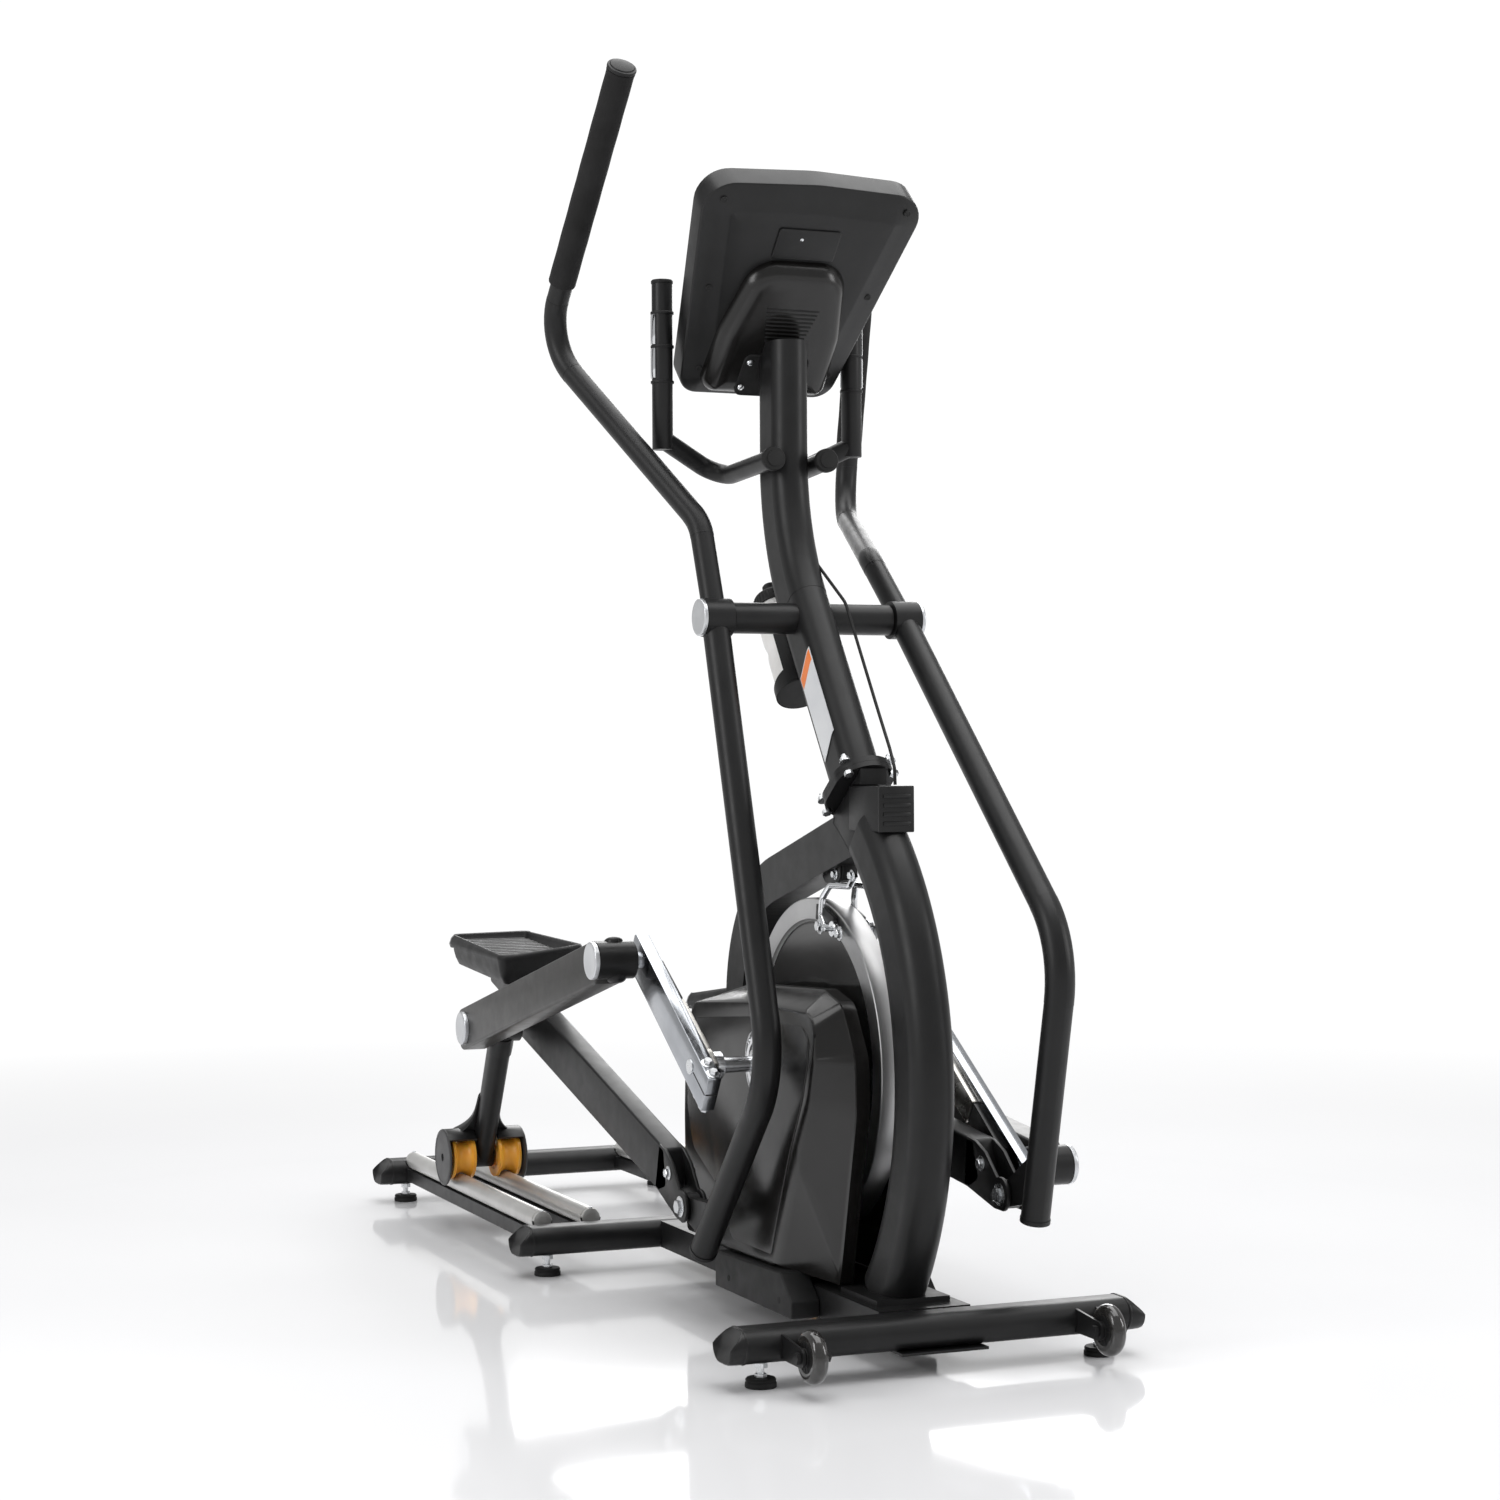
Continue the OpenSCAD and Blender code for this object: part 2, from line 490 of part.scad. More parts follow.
// ---------------------------------------------------------------- roller arms
// arm frame: X from the roller axle to the crank joint
module arm(s) scale([1, s, 1]) {
    p2 = p2_arm;
    color("#1b1c1e") difference() {
        union() {
            // outboard beam
            at(p2, beam_a) side(255, 300) { translate([-6, -39]) square([beam_len - 14, 78]);
                translate([-6, 0]) circle(r = 39); translate([beam_len - 20, 0]) circle(r = 36);
                translate([beam_len - 60, -36]) square([40, 72]); }
            // leg between the rollers
            at([0, 0], atan2(p2[1], p2[0])) translate([0, 225, 0]) rotate([0, 90, 0])
                linear_extrude(height = norm(p2)) pill(54, 40);
            ycyl([0, 0], 205.5, 244.5, 22);
            ycyl(p2, 192, 300, 28);
            at(p2, beam_a) ycyl([beam_len, 0], 235, 304, 31);
        }
        ycyl([0, 0], 200, 250, 7.2);
        at(p2, beam_a) side(258, 297) translate([60, -36]) square([beam_len - 150, 72]);
        at(p2, beam_a) ycyl([beam_len, 0], 230, 254, 13);
    }
    color("#101113") at(p2, beam_a) {
        translate([beam_len, 268, 30]) cylinder(r = 15, h = 6);
        translate([beam_len, 268, 36]) cylinder(r = 11, h = 4);
        translate([beam_len, 268, -36]) cylinder(r = 15, h = 6);
        translate([beam_len, 268, -40]) cylinder(r = 11, h = 4);
    }
    color("#9a9da1") { ycyl(p2, 141, 193, 10);
        ycyl([0, 0], 149, 299, 7); }
}
module arm_right() place() at(Rr, arm_r) arm(-1);
module arm_left() place() at(Rl, arm_l) arm(1);
module arm_caps(s) color("#c5c8cb") {
    capdisc(p2_arm, 300.4, 8, 31, s);
    at(p2_arm, beam_a) capdisc([beam_len, 0], 304.4, 8, 31, s);
}
module arm_caps_right() place() at(Rr, arm_r) arm_caps(-1);
module arm_caps_left() place() at(Rl, arm_l) arm_caps(1);
cover_r = 54;
module covers() color("#131416") for (y = [[246.5, 304, 299.5], [149, 203.5, 153.5]]) difference() {
    union() {
        difference() {
            side(y[0], y[1]) circle(r = cover_r);
            side(y[0] > 200 ? 240 : 153.5, y[0] > 200 ? 299.5 : 210) circle(r = cover_r - 4);
            // open towards the front and the rail
            side(140, 310) polygon([[0, 0], [90, 84], [90, -80], [-90, -80], [-90, -18], [0, -18]]);
        }
        side(y[0] > 200 ? 299.5 : 149, y[0] > 200 ? 304 : 153.5) circle(r = cover_r);
    }
    side(140, 310) circle(r = 7.4);
}
// the covers sit level at rest, so they are drawn in machine axes at the roller axle
module roller_covers_right() place() translate([Rr[0], 0, Rr[1]]) scale([1, -1, 1]) covers();
module roller_covers_left() place() translate([Rl[0], 0, Rl[1]]) covers();
module rollers() color("#e39a1c") for (y = [180, 270]) translate([0, y, 0]) rotate([90, 0, 0])
    rotate_extrude() difference() {
        translate([7.4, -22]) square([34.6, 44]);
        translate([roller_z - rail_z, 0]) circle(r = rail_r + 0.7);
        translate([24, 22]) circle(r = 5);
        translate([24, -22]) circle(r = 5);
    }
module rollers_right() place() translate([Rr[0], 0, Rr[1]]) scale([1, -1, 1]) rollers();
module rollers_left() place() translate([Rl[0], 0, Rl[1]]) rollers();

// ---------------------------------------------------------------- footplate links
// link frame: X from the rear joint to the lever joint
module link(s) scale([1, s, 1]) {
    color("#1b1c1e") difference() {
        union() {
            side(146, 184) { translate([-20, -16]) square([link_len - 70, 80]); circle(r = 30);
                translate([-20, 24]) circle(r = 40); }
            for (y = [146, 178]) side(y, y + 6) { translate([link_len, 0]) circle(r = 27);
                polygon([[link_len - 120, -14], [link_len, -27], [link_len, 27], [link_len - 84, 63], [link_len - 120, 63]]); }
            // footplate bracket
            side(150, 180) polygon([[-236, 6], [-40, 6], [30, 40], [30, 96], [0, 96], [-236, 24]]);
        }
        ycyl([0, 0], 140, 190, 10.4);
        side(149, 181) translate([70, -13]) square([link_len - 170, 74]);
        ycyl([link_len, 0], 140, 190, 6.2);
        side(152, 178) translate([link_len - 92, -40]) square([140, 160]);
    }
    color("#b9bcc0") {
        for (k = [0, 1]) { ycyl([link_len, 0], k == 0 ? 146 : 178, k == 0 ? 152.4 : 184, 6);
            translate([link_len, k == 0 ? 139 : 184, 0]) rotate([-90, 0, 0]) hexhead(13, 7); }
        ycyl([link_len - 60, 40], 141, 189, 5);
        translate([link_len - 60, 139, 40]) rotate([-90, 0, 0]) hexhead(9, 7);
        translate([link_len - 60, 184, 40]) rotate([-90, 0, 0]) hexhead(9, 7);
    }
}
module link_right() place() at(P2r, link_r) link(-1);
module link_left() place() at(P2l, link_l) link(1);
// footplate drawn level about its middle, then set on the link
module footplate() {
    w = plate_w / 2;
    l = plate_l / 2;
    color("#17181a") difference() {
        union() {
            linear_extrude(height = 34) polygon([[-l, -w + 34], [-l + 34, -w], [l - 40, -w], [l, -w + 44],
                [l, w - 44], [l - 40, w], [-l + 34, w], [-l, w - 34]]);
            linear_extrude(height = 52) polygon([[l - 60, -w + 22], [l - 40, -w],
                [l, -w + 44], [l, w - 44], [l - 40, w], [l - 60, w - 22]]);
            translate([-10, 0, -24]) linear_extrude(height = 26) polygon([[-l + 40, -w + 26], [l - 40, -w + 26],
                [l - 40, w - 26], [-l + 40, w - 26]]);
        }
        translate([0, 0, 16]) linear_extrude(height = 60) polygon([[-l + 12, -w + 34], [-l + 34, -w + 12],
            [l - 46, -w + 12], [l - 12, -w + 46], [l - 12, w - 46], [l - 46, w - 12], [-l + 34, w - 12], [-l + 12, w - 34]]);
    }
    color("#2c2e31") for (i = [0:10]) translate([-l + 38 + i * 25, 0, 16]) rotate([0, 90, 0])
        linear_extrude(height = 12, center = true) square([10, 2 * w - 44 - (i > 9 ? 40 : 0)], center = true);
}
plate_c = [-132, 83];
module footplate_right() place() at(P2r, link_r) translate([plate_c[0], -lever_y, plate_c[1]])
    rotate([0, link_r - 2, 0]) footplate();
module footplate_left() place() at(P2l, link_l) translate([plate_c[0], lever_y, plate_c[1]])
    rotate([0, link_r - 2, 0]) footplate();

// ---------------------------------------------------------------- handlebars, console, bottle
module handlebars() place() for (m = [0, 1]) mirror([0, m, 0]) {
    color("#1b1c1e") {
        bar([[-486, -47, 1386], [-694, -54, 1374], [-656, -172, 1432]], [0, 38, 0], 16);
        translate([-656, -172, 1414]) cylinder(r = 17.3, h = 276);
    }
    color("#131416") {
        stick([-486, -47, 1386], [-476, -47, 1386.5], 19.5);
        stick([-476, -47, 1386.5], [-472, -47, 1386.8], 13);
        translate([-656, -172, 1690]) cylinder(r = 18.3, h = 7);
    }
}
module pulse_plates() place() color("#cfd2d4") for (s = [-1, 1], z = [1532, 1588]) difference() {
    translate([-656, s * 172, z]) cylinder(r = 19.4, h = 50);
    translate([-656, s * 172, z - 5]) cylinder(r = 17.6, h = 60);
    translate([-656, s * 172 - 30, z - 5]) cube([60, 60, 60]);
}
con_o = [-525, 1655];
con_a = 46.05;
// console frame: X up along the panel, Z towards the user side
module con() at(con_o, con_a) children();
module con_shape(g) {
    h = console_h / 2 - g;
    t = console_top - g;
    b = console_bot - g;
    polygon([[-h + 30, -b], [-h, -b + 34], [-h, b - 34], [-h + 30, b], [h - 46, t], [h - 12, t - 14], [h, t - 50],
        [h, -t + 50], [h - 12, -t + 14], [h - 46, -t]]);
}
module console_body() place() con() {
    color("#101113") difference() {
        union() {
            translate([0, 0, 10]) linear_extrude(height = 46) con_shape(0);
            linear_extrude(height = 11) con_shape(9);
            // raised back hump
            translate([0, 0, -36]) linear_extrude(height = 40) polygon([[-168, -62], [-20, -62], [16, -34],
                [16, 34], [-20, 62], [-168, 62]]);
            translate([0, 0, -14]) linear_extrude(height = 18) polygon([[-176, -84], [-10, -84], [40, -46],
                [40, 46], [-10, 84], [-176, 84]]);
        }
        translate([0, 0, 4]) linear_extrude(height = 60) con_shape(14);
        translate([0, 0, -32]) linear_extrude(height = 40) polygon([[-160, -56], [-22, -56], [10, -30],
            [10, 30], [-22, 56], [-160, 56]]);
        for (i = [0:8]) translate([-46 + i * 8, 0, -40]) linear_extrude(height = 10) pill(3.2, 46);
        // way in for the mast
        rotate([0, con_a, 0]) translate([mast_x - con_o[0], 0, -260]) linear_extrude(height = 198) pill(105, 63);
    }
    color("#0c0d0e") translate([88, 6, -1.6]) linear_extrude(height = 2) square([40, 92], center = true);
    color("#b9bcc0") {
        for (x = [-156, -126], s = [-1, 1]) translate([x, s * 46, -40]) cylinder(r = 5, h = 4.4);
        translate([118, 0, -2.6]) cylinder(r = 3, h = 1.4);
    }
    color("#0a0a0b") for (p = [[-150, 100], [150, 150], [10, 128]], s = [-1, 1])
        translate([p[0], s * p[1], -1]) cylinder(r = 4, h = 2);
}
module console_face() place() con() {
    color("#1a1b1e") translate([0, 0, 56.4]) linear_extrude(height = 6) con_shape(4);
    color("#20323a") translate([60, 0, 62.4]) linear_extrude(height = 1.6) square([150, 240], center = true);
    color("#c5c8cb") for (i = [-3:3]) translate([-70, i * 30, 62.4]) cylinder(r = 9, h = 3);
    color("#1a1b1e") translate([-118, 0, 62.4]) difference() {
        cylinder(r = 19, h = 2); cylinder(r = 16, h = 4); }
    color("#3a8f4a") for (s = [-1, 1]) translate([-118, s * 62, 62.4]) cylinder(r = 13, h = 3.4);
    color("#1a1b1e") difference() {
        translate([-162, 0, 62.4]) linear_extrude(height = 16) square([26, 200], center = true);
        translate([-160, 0, 68]) linear_extrude(height = 20) square([18, 190], center = true);
    }
}
module stop_key() place() con() color("#c23a2b") translate([-118, 0, 63.6]) cylinder(r = 15.4, h = 5);
// bottle frame: local Z up along the leaning mast
bt = [-542, 1090];
module bframe() translate([bt[0], 0, bt[1]]) rotate([0, -mast_lean, 0]) children();
module bottle_cage() place() bframe() color("#161719") {
    difference() {
        translate([0, 0, -104]) cylinder(r = 41, h = 92);
        translate([0, 0, -100]) cylinder(r = 38, h = 100);
        for (i = [0:3]) rotate([0, 0, 45 + i * 90]) translate([24, -12, -90]) cube([30, 24, 66]);
        translate([0, 0, -110]) cylinder(r = 14, h = 20);
    }
    difference() {
        translate([36, -14, -90]) cube([20, 28, 150]);
        translate([0, 0, -100]) cylinder(r = 40, h = 80);
        translate([0, 0, -20]) cylinder(r = 40, h = 120);
        translate([94.7, 0, -130]) linear_extrude(height = 300) pill(105.4, 63.4);
    }
}
module bottle() place() bframe() {
    color("#e9ebec") rotate_extrude() difference() {
        union() { translate([0, -99]) square([36, 140]); translate([0, 41]) square([31, 22]);
            translate([0, 63]) square([29, 12]); translate([31, 41]) circle(r = 5); }
        translate([0, -96]) square([33.5, 150]);
        translate([-60, -120]) square([60, 260]);
        translate([37.6, -14]) circle(r = 4);
    }
    color("#141416") { translate([0, 0, 75.2]) cylinder(r = 33, h = 20); translate([0, 0, 95]) cylinder(r = 24, h = 8);
        translate([0, 0, 103]) cylinder(r = 12, h = 18); }
}
module brake_cable() place() color("#0d0d0d")
    bar([[-462, 34, 1218], [-392, 46, 1150], [-290, 50, 985], [-206, 44, 930], [-172, 24, 892], [-170, 22, 859]],
        [0, 60, 200, 40, 20, 0], 2.6);

front_stabiliser();
mid_stabiliser();
rear_stabiliser();
stabiliser_caps();
base_beam();
front_post();
rear_arch();
top_block();
flange_plates();
flange_bolts();
mast();
foot_pads();
foot_studs();
rail_bars();
rail_tubes();
rail_caps();
wheel_brackets();
wheel_right();
wheel_left();
cross_tube();
crank_axle();
crank_pulley();
crank_right();
crank_left();
axle_covers();
bearing_plates();
flywheel();
flywheel_disc();
jackshaft();
belts();
brake_mount();
brake_shoe();
shell_right();
shell_left();
foot_covers();
lever_right();
lever_left();
lever_caps();
hand_grip_right();
hand_grip_left();
arm_right();
arm_left();
arm_caps_right();
arm_caps_left();
roller_covers_right();
roller_covers_left();
rollers_right();
rollers_left();
link_right();
link_left();
footplate_right();
footplate_left();
handlebars();
pulse_plates();
console_body();
console_face();
stop_key();
bottle_cage();
bottle();
brake_cable();
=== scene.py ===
import json
from math import acos, atan2, copysign, cos, pi, radians, sin, tan

import bmesh
import bpy
from mathutils import Matrix, Vector


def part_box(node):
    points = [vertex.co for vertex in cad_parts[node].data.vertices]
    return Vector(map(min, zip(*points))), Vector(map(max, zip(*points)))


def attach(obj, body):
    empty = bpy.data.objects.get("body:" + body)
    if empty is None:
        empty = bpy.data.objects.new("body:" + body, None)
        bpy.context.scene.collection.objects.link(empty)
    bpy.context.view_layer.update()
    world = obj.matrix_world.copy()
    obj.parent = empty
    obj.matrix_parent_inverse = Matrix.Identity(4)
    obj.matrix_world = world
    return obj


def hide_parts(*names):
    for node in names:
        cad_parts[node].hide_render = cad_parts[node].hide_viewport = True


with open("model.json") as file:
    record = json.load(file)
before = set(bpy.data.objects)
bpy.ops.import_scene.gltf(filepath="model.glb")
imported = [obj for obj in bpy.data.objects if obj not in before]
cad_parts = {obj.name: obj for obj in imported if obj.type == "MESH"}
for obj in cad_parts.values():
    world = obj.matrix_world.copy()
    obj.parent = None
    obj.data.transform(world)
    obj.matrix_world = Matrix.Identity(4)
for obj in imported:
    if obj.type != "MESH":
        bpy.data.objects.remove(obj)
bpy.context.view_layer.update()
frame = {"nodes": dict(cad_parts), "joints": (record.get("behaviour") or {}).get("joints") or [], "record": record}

# Elliptical trainer: the visible pieces over the CAD nodes. Metres, X forward, Y to the user's left, Z up.
# Side s is -1 on the user's right and 1 on the left.

# ---- facts of the frame
JOINT = {j["name"]: Vector(j["pos_m"]) for j in frame["joints"] if "pos_m" in j}
C = JOINT["crank_spin"]
S = JOINT["right_lever_swing"]
RR, RL = JOINT["right_pitch"], JOINT["left_pitch"]
P2 = {-1: JOINT["right_link_turn"], 1: JOINT["left_link_turn"]}
CRANK = 0.285  # crank length
PHASE = {-1: radians(147.5), 1: radians(327.5)}  # crank angles at rest
X0 = C.x + 0.395  # the front feet
CROSS_X = (0, -974, -1900)  # the three cross tubes, mm from the front feet
CROSS_Z = 0.062  # their axis
FOOT_Y = 0.2756  # the levelling feet
LEG_Y = 0.225  # centre plane of a roller arm's leg
LINK_Y = 0.165  # centre plane of a footplate link


def mx(x):
    """Row X of a distance in millimetres from the front feet."""
    return X0 + x / 1000


def mm(*values):
    """Numbers or tuples of numbers in millimetres, as metres."""
    return [tuple(v / 1000 for v in p) if isinstance(p, tuple) else p / 1000 for p in values]


def side_view(*pts):
    """(millimetres from the front feet, height in millimetres) as side-view points in metres."""
    return [(mx(x), z / 1000) for x, z in pts]


def shift(x, y, z):
    return Matrix.Translation((x, y, z))


def turn(angle, axis):
    return Matrix.Rotation(angle, 4, axis)


def plane(p, angle):
    """Frame with X turned by angle upwards in the side view, at point p (Y is kept at 0)."""
    return shift(p[0], 0, p[-1]) @ turn(-angle, "Y")


def pin(s):
    return Vector((C.x + CRANK * cos(PHASE[s]), 0, C.z + CRANK * sin(PHASE[s])))


def angle(a, b):
    return atan2(b[-1] - a[-1], b[0] - a[0])


ROLL = {-1: RR, 1: RL}
LEVER_LEN = 0.96  # pivot to the lower joint of a swing lever
LEVER_A = {-1: radians(-7.1), 1: radians(22.65683)}  # lever angles at rest
FOOT = {s: Vector((S.x + LEVER_LEN * sin(a), 0, S.z - LEVER_LEN * cos(a))) for s, a in LEVER_A.items()}
LINK_A = {s: angle(P2[s], FOOT[s]) for s in (-1, 1)}
LINK_LEN = (FOOT[-1] - Vector((P2[-1].x, 0, P2[-1].z))).length
BEAM_A = {s: angle(P2[s], pin(s)) for s in (-1, 1)}
BEAM_LEN = (pin(-1) - Vector((P2[-1].x, 0, P2[-1].z))).length
SIDE = {-1: "right", 1: "left"}
WORLD = Matrix.Identity(4)

# ---- materials


def principled(name):
    m = bpy.data.materials.new(name)
    m.use_nodes = True
    nt = m.node_tree
    return m, nt, nt.nodes["Principled BSDF"]


def add_node(nt, kind):
    return nt.nodes.new("ShaderNode" + kind)


def coords(nt, scale=(1, 1, 1)):
    tc = add_node(nt, "TexCoord")
    mp = add_node(nt, "Mapping")
    mp.inputs["Scale"].default_value = scale
    nt.links.new(tc.outputs["Object"], mp.inputs["Vector"])
    return mp.outputs["Vector"]


def noise(nt, vec, scale, detail=4.0, rough=0.55):
    n = add_node(nt, "TexNoise")
    n.inputs["Scale"].default_value = scale
    n.inputs["Detail"].default_value = detail
    n.inputs["Roughness"].default_value = rough
    nt.links.new(vec, n.inputs["Vector"])
    return n.outputs["Fac"]


def ramp(nt, fac, stops):
    r = add_node(nt, "ValToRGB")
    while len(r.color_ramp.elements) < len(stops):
        r.color_ramp.elements.new(0.5)
    for e, (p, c) in zip(r.color_ramp.elements, stops):
        e.position = p
        e.color = (*c, 1)
    nt.links.new(fac, r.inputs["Fac"])
    return r.outputs["Color"]


def rng(nt, fac, lo, hi, a=0.3, b=0.7):
    m = add_node(nt, "MapRange")
    m.inputs["From Min"].default_value = a
    m.inputs["From Max"].default_value = b
    m.inputs["To Min"].default_value = lo
    m.inputs["To Max"].default_value = hi
    nt.links.new(fac, m.inputs["Value"])
    return m.outputs["Result"]


def bump(nt, bs, height, strength, dist):
    b = add_node(nt, "Bump")
    b.inputs["Strength"].default_value = strength
    b.inputs["Distance"].default_value = dist
    nt.links.new(height, b.inputs["Height"])
    nt.links.new(b.outputs["Normal"], bs.inputs["Normal"])


M = {}


def grain(key, name, dark, light, rough, scale=900, micron=60, strength=0.35, spec=0.5, metal=0.0, stretch=(1, 1, 1),
        detail=3.0):
    """Mottled base colour and roughness at a wide scale, with a fine bump of some microns over it."""
    m, nt, bs = principled(name)
    nt.links.new(ramp(nt, noise(nt, coords(nt), 14.0, 5.0), [(0.3, dark), (0.7, light)]), bs.inputs["Base Color"])
    nt.links.new(rng(nt, noise(nt, coords(nt), 32.2, 6.0), *rough), bs.inputs["Roughness"])
    bump(nt, bs, noise(nt, coords(nt, stretch), scale, detail), strength, micron / 1e6)
    bs.inputs["Metallic"].default_value = metal
    bs.inputs["Specular IOR Level"].default_value = spec
    M[key] = m


grain("paint", "paint_black", (0.0065, 0.0065, 0.0068), (0.0095, 0.0095, 0.0098), (0.36, 0.44), 1500, 30, 0.22, 0.28)
grain("beam", "paint_graphite", (0.022, 0.021, 0.02), (0.029, 0.028, 0.0265), (0.34, 0.42), 1900, 20, 0.2, 0.35, 0.3)
grain("gloss", "plastic_gloss_black", (0.0045, 0.0042, 0.004), (0.0065, 0.006, 0.0056), (0.19, 0.27), 260, 20, 0.1,
    0.42)
grain("satin", "plastic_satin_black", (0.0065, 0.0065, 0.0066), (0.0095, 0.0095, 0.0098), (0.3, 0.4), 2600, 30, 0.3,
    0.3)
grain("plastic", "plastic_textured_black", (0.0075, 0.0075, 0.0078), (0.0115, 0.0115, 0.0118), (0.44, 0.56), 2200, 60,
    0.4, 0.26)
grain("rubber", "rubber_black", (0.007, 0.007, 0.007), (0.011, 0.011, 0.011), (0.55, 0.7), 900, 60, 0.4, 0.25)
grain("foam", "foam_black", (0.01, 0.0097, 0.0097), (0.016, 0.0157, 0.016), (0.72, 0.86), 2400, 220, 0.9, 0.2,
    detail=6.0)
grain("chrome", "chrome_plate", (0.62, 0.63, 0.65), (0.7, 0.71, 0.725), (0.09, 0.15), 70, 30, 0.15, 0.5, 1.0)
grain("zinc", "zinc_plate", (0.58, 0.6, 0.62), (0.72, 0.73, 0.74), (0.22, 0.34), 700, 30, 0.3, 0.5, 1.0)
grain("alu", "aluminium_tube", (0.56, 0.555, 0.54), (0.66, 0.655, 0.64), (0.38, 0.46), 600, 30, 0.35, 0.5, 0.85,
    stretch=(0.02, 1, 1))
grain("silver", "silver_lacquer", (0.5, 0.51, 0.53), (0.58, 0.59, 0.6), (0.28, 0.36), 2600, 30, 0.3, 0.5, 0.75)
grain("satin_steel", "satin_steel", (0.36, 0.35, 0.325), (0.46, 0.445, 0.42), (0.24, 0.34), 900, 40, 0.4, 0.5, 1.0,
    stretch=(0.05, 1, 1))
grain("tread", "tread_rubber", (0.022, 0.022, 0.022), (0.03, 0.03, 0.03), (0.42, 0.55), 900, 60, 0.4, 0.4)
grain("bar_steel", "polished_bar", (0.36, 0.375, 0.4), (0.44, 0.455, 0.48), (0.13, 0.2), 120, 30, 0.15, 0.5, 1.0)
grain("lip", "heel_lip_grey", (0.2, 0.2, 0.205), (0.25, 0.25, 0.255), (0.34, 0.42), 2400, 30, 0.3, 0.5, 0.2)
grain("dark_grey", "satin_dark_grey", (0.03, 0.03, 0.031), (0.04, 0.04, 0.041), (0.36, 0.46), 2400, 30, 0.3, 0.35)
grain("red", "key_red", (0.42, 0.03, 0.02), (0.5, 0.04, 0.025), (0.3, 0.4))
grain("green", "key_green", (0.03, 0.19, 0.06), (0.04, 0.23, 0.08), (0.35, 0.45))
grain("key", "key_grey", (0.3, 0.31, 0.32), (0.36, 0.37, 0.38), (0.4, 0.5))
grain("label", "label_plain", (0.62, 0.63, 0.65), (0.7, 0.71, 0.72), (0.3, 0.4), 900, 60, 0.35, 0.5, 0.25)
grain("orange", "label_band", (0.72, 0.16, 0.02), (0.8, 0.2, 0.03), (0.35, 0.45))
# painted shade: near-black, darker than the black paint, put as thin sheets and shallow dips in the vents, cover
# holes, mast pocket and screw wells; it also colours the real dark seam and split lines
grain("shade_and_seam", "painted_shade_and_seam_black", (0.0025, 0.0025, 0.0025), (0.004, 0.004, 0.004), (0.7, 0.85))


def tinted(name, scale, detail, dark, light, rough, extra, fine=None, low=0.3, rough_scale=None):
    """Coloured plastic, rubber or glass; fine is the scale, strength and height of its bump."""
    m, nt, bs = principled(name)
    n = noise(nt, coords(nt), scale, detail)
    nt.links.new(ramp(nt, n, [(low, dark), (1 - low, light)]), bs.inputs["Base Color"])
    r = noise(nt, coords(nt), rough_scale) if rough_scale else n
    nt.links.new(rng(nt, r, *rough), bs.inputs["Roughness"])
    if fine:
        bump(nt, bs, noise(nt, coords(nt), fine[0]), fine[1], fine[2])
    for key, value in extra.items():
        bs.inputs[key].default_value = value
    return m


def turned(name, base, rough, metal=1.0, strength=0.25):
    """Concentric turning marks about the crank axis, which runs along Y."""
    m, nt, bs = principled(name)
    tc = add_node(nt, "TexCoord")
    sub = add_node(nt, "VectorMath")
    sub.operation = "SUBTRACT"
    sub.inputs[1].default_value = tuple(C)
    nt.links.new(tc.outputs["Object"], sub.inputs[0])
    mul = add_node(nt, "VectorMath")
    mul.operation = "MULTIPLY"
    mul.inputs[1].default_value = (1, 0, 1)
    nt.links.new(sub.outputs[0], mul.inputs[0])
    ln = add_node(nt, "VectorMath")
    ln.operation = "LENGTH"
    nt.links.new(mul.outputs[0], ln.inputs[0])
    comb = add_node(nt, "CombineXYZ")
    nt.links.new(ln.outputs["Value"], comb.inputs["X"])
    sep = add_node(nt, "SeparateXYZ")
    nt.links.new(sub.outputs[0], sep.inputs[0])
    nt.links.new(sep.outputs["Y"], comb.inputs["Y"])
    fine = noise(nt, comb.outputs[0], 900.0, 3.0)
    broad = noise(nt, coords(nt), 9.0, 5.0)
    nt.links.new(ramp(nt, broad, [(0.3, base[0]), (0.7, base[1])]), bs.inputs["Base Color"])
    nt.links.new(rng(nt, fine, rough[0], rough[1]), bs.inputs["Roughness"])
    bump(nt, bs, fine, strength, 0.00004)
    bs.inputs["Metallic"].default_value = metal
    return m


M["amber"] = tinted("amber_urethane", 26.0, 5.0, (0.74, 0.3, 0.02), (0.86, 0.42, 0.05), (0.28, 0.4),
    {"Subsurface Weight": 0.35, "Subsurface Radius": (0.02, 0.008, 0.002), "Subsurface Scale": 0.3},
    (500.0, 0.3, 0.00006), 0.25, 60.0)
M["smoked"] = tinted("wheel_urethane_smoked", 60.0, 4.0, (0.02, 0.019, 0.018), (0.034, 0.032, 0.03), (0.1, 0.2),
    {"Transmission Weight": 0.25, "Coat Weight": 0.4}, (400.0, 0.2, 0.00005))
M["milky"] = tinted("bottle_milky", 30.0, 4.0, (0.8, 0.79, 0.77), (0.88, 0.87, 0.86), (0.32, 0.45),
    {"Transmission Weight": 0.25, "Subsurface Weight": 0.4, "Subsurface Radius": (0.02, 0.02, 0.02),
    "Subsurface Scale": 0.4}, (300.0, 0.2, 0.00008))
M["glass"] = tinted("display_glass", 20.0, 3.0, (0.012, 0.022, 0.026), (0.016, 0.028, 0.033), (0.04, 0.09),
    {"Coat Weight": 0.6})
M["rim"] = turned("turned_steel", ((0.42, 0.42, 0.425), (0.52, 0.52, 0.52)), (0.3, 0.4))
M["disc"] = turned("disc_gloss_black", ((0.01, 0.01, 0.01), (0.016, 0.0155, 0.015)), (0.1, 0.2), metal=0.0,
    strength=0.06)
M["steel"] = turned("machined_steel", ((0.42, 0.43, 0.44), (0.5, 0.5, 0.51)), (0.25, 0.4))

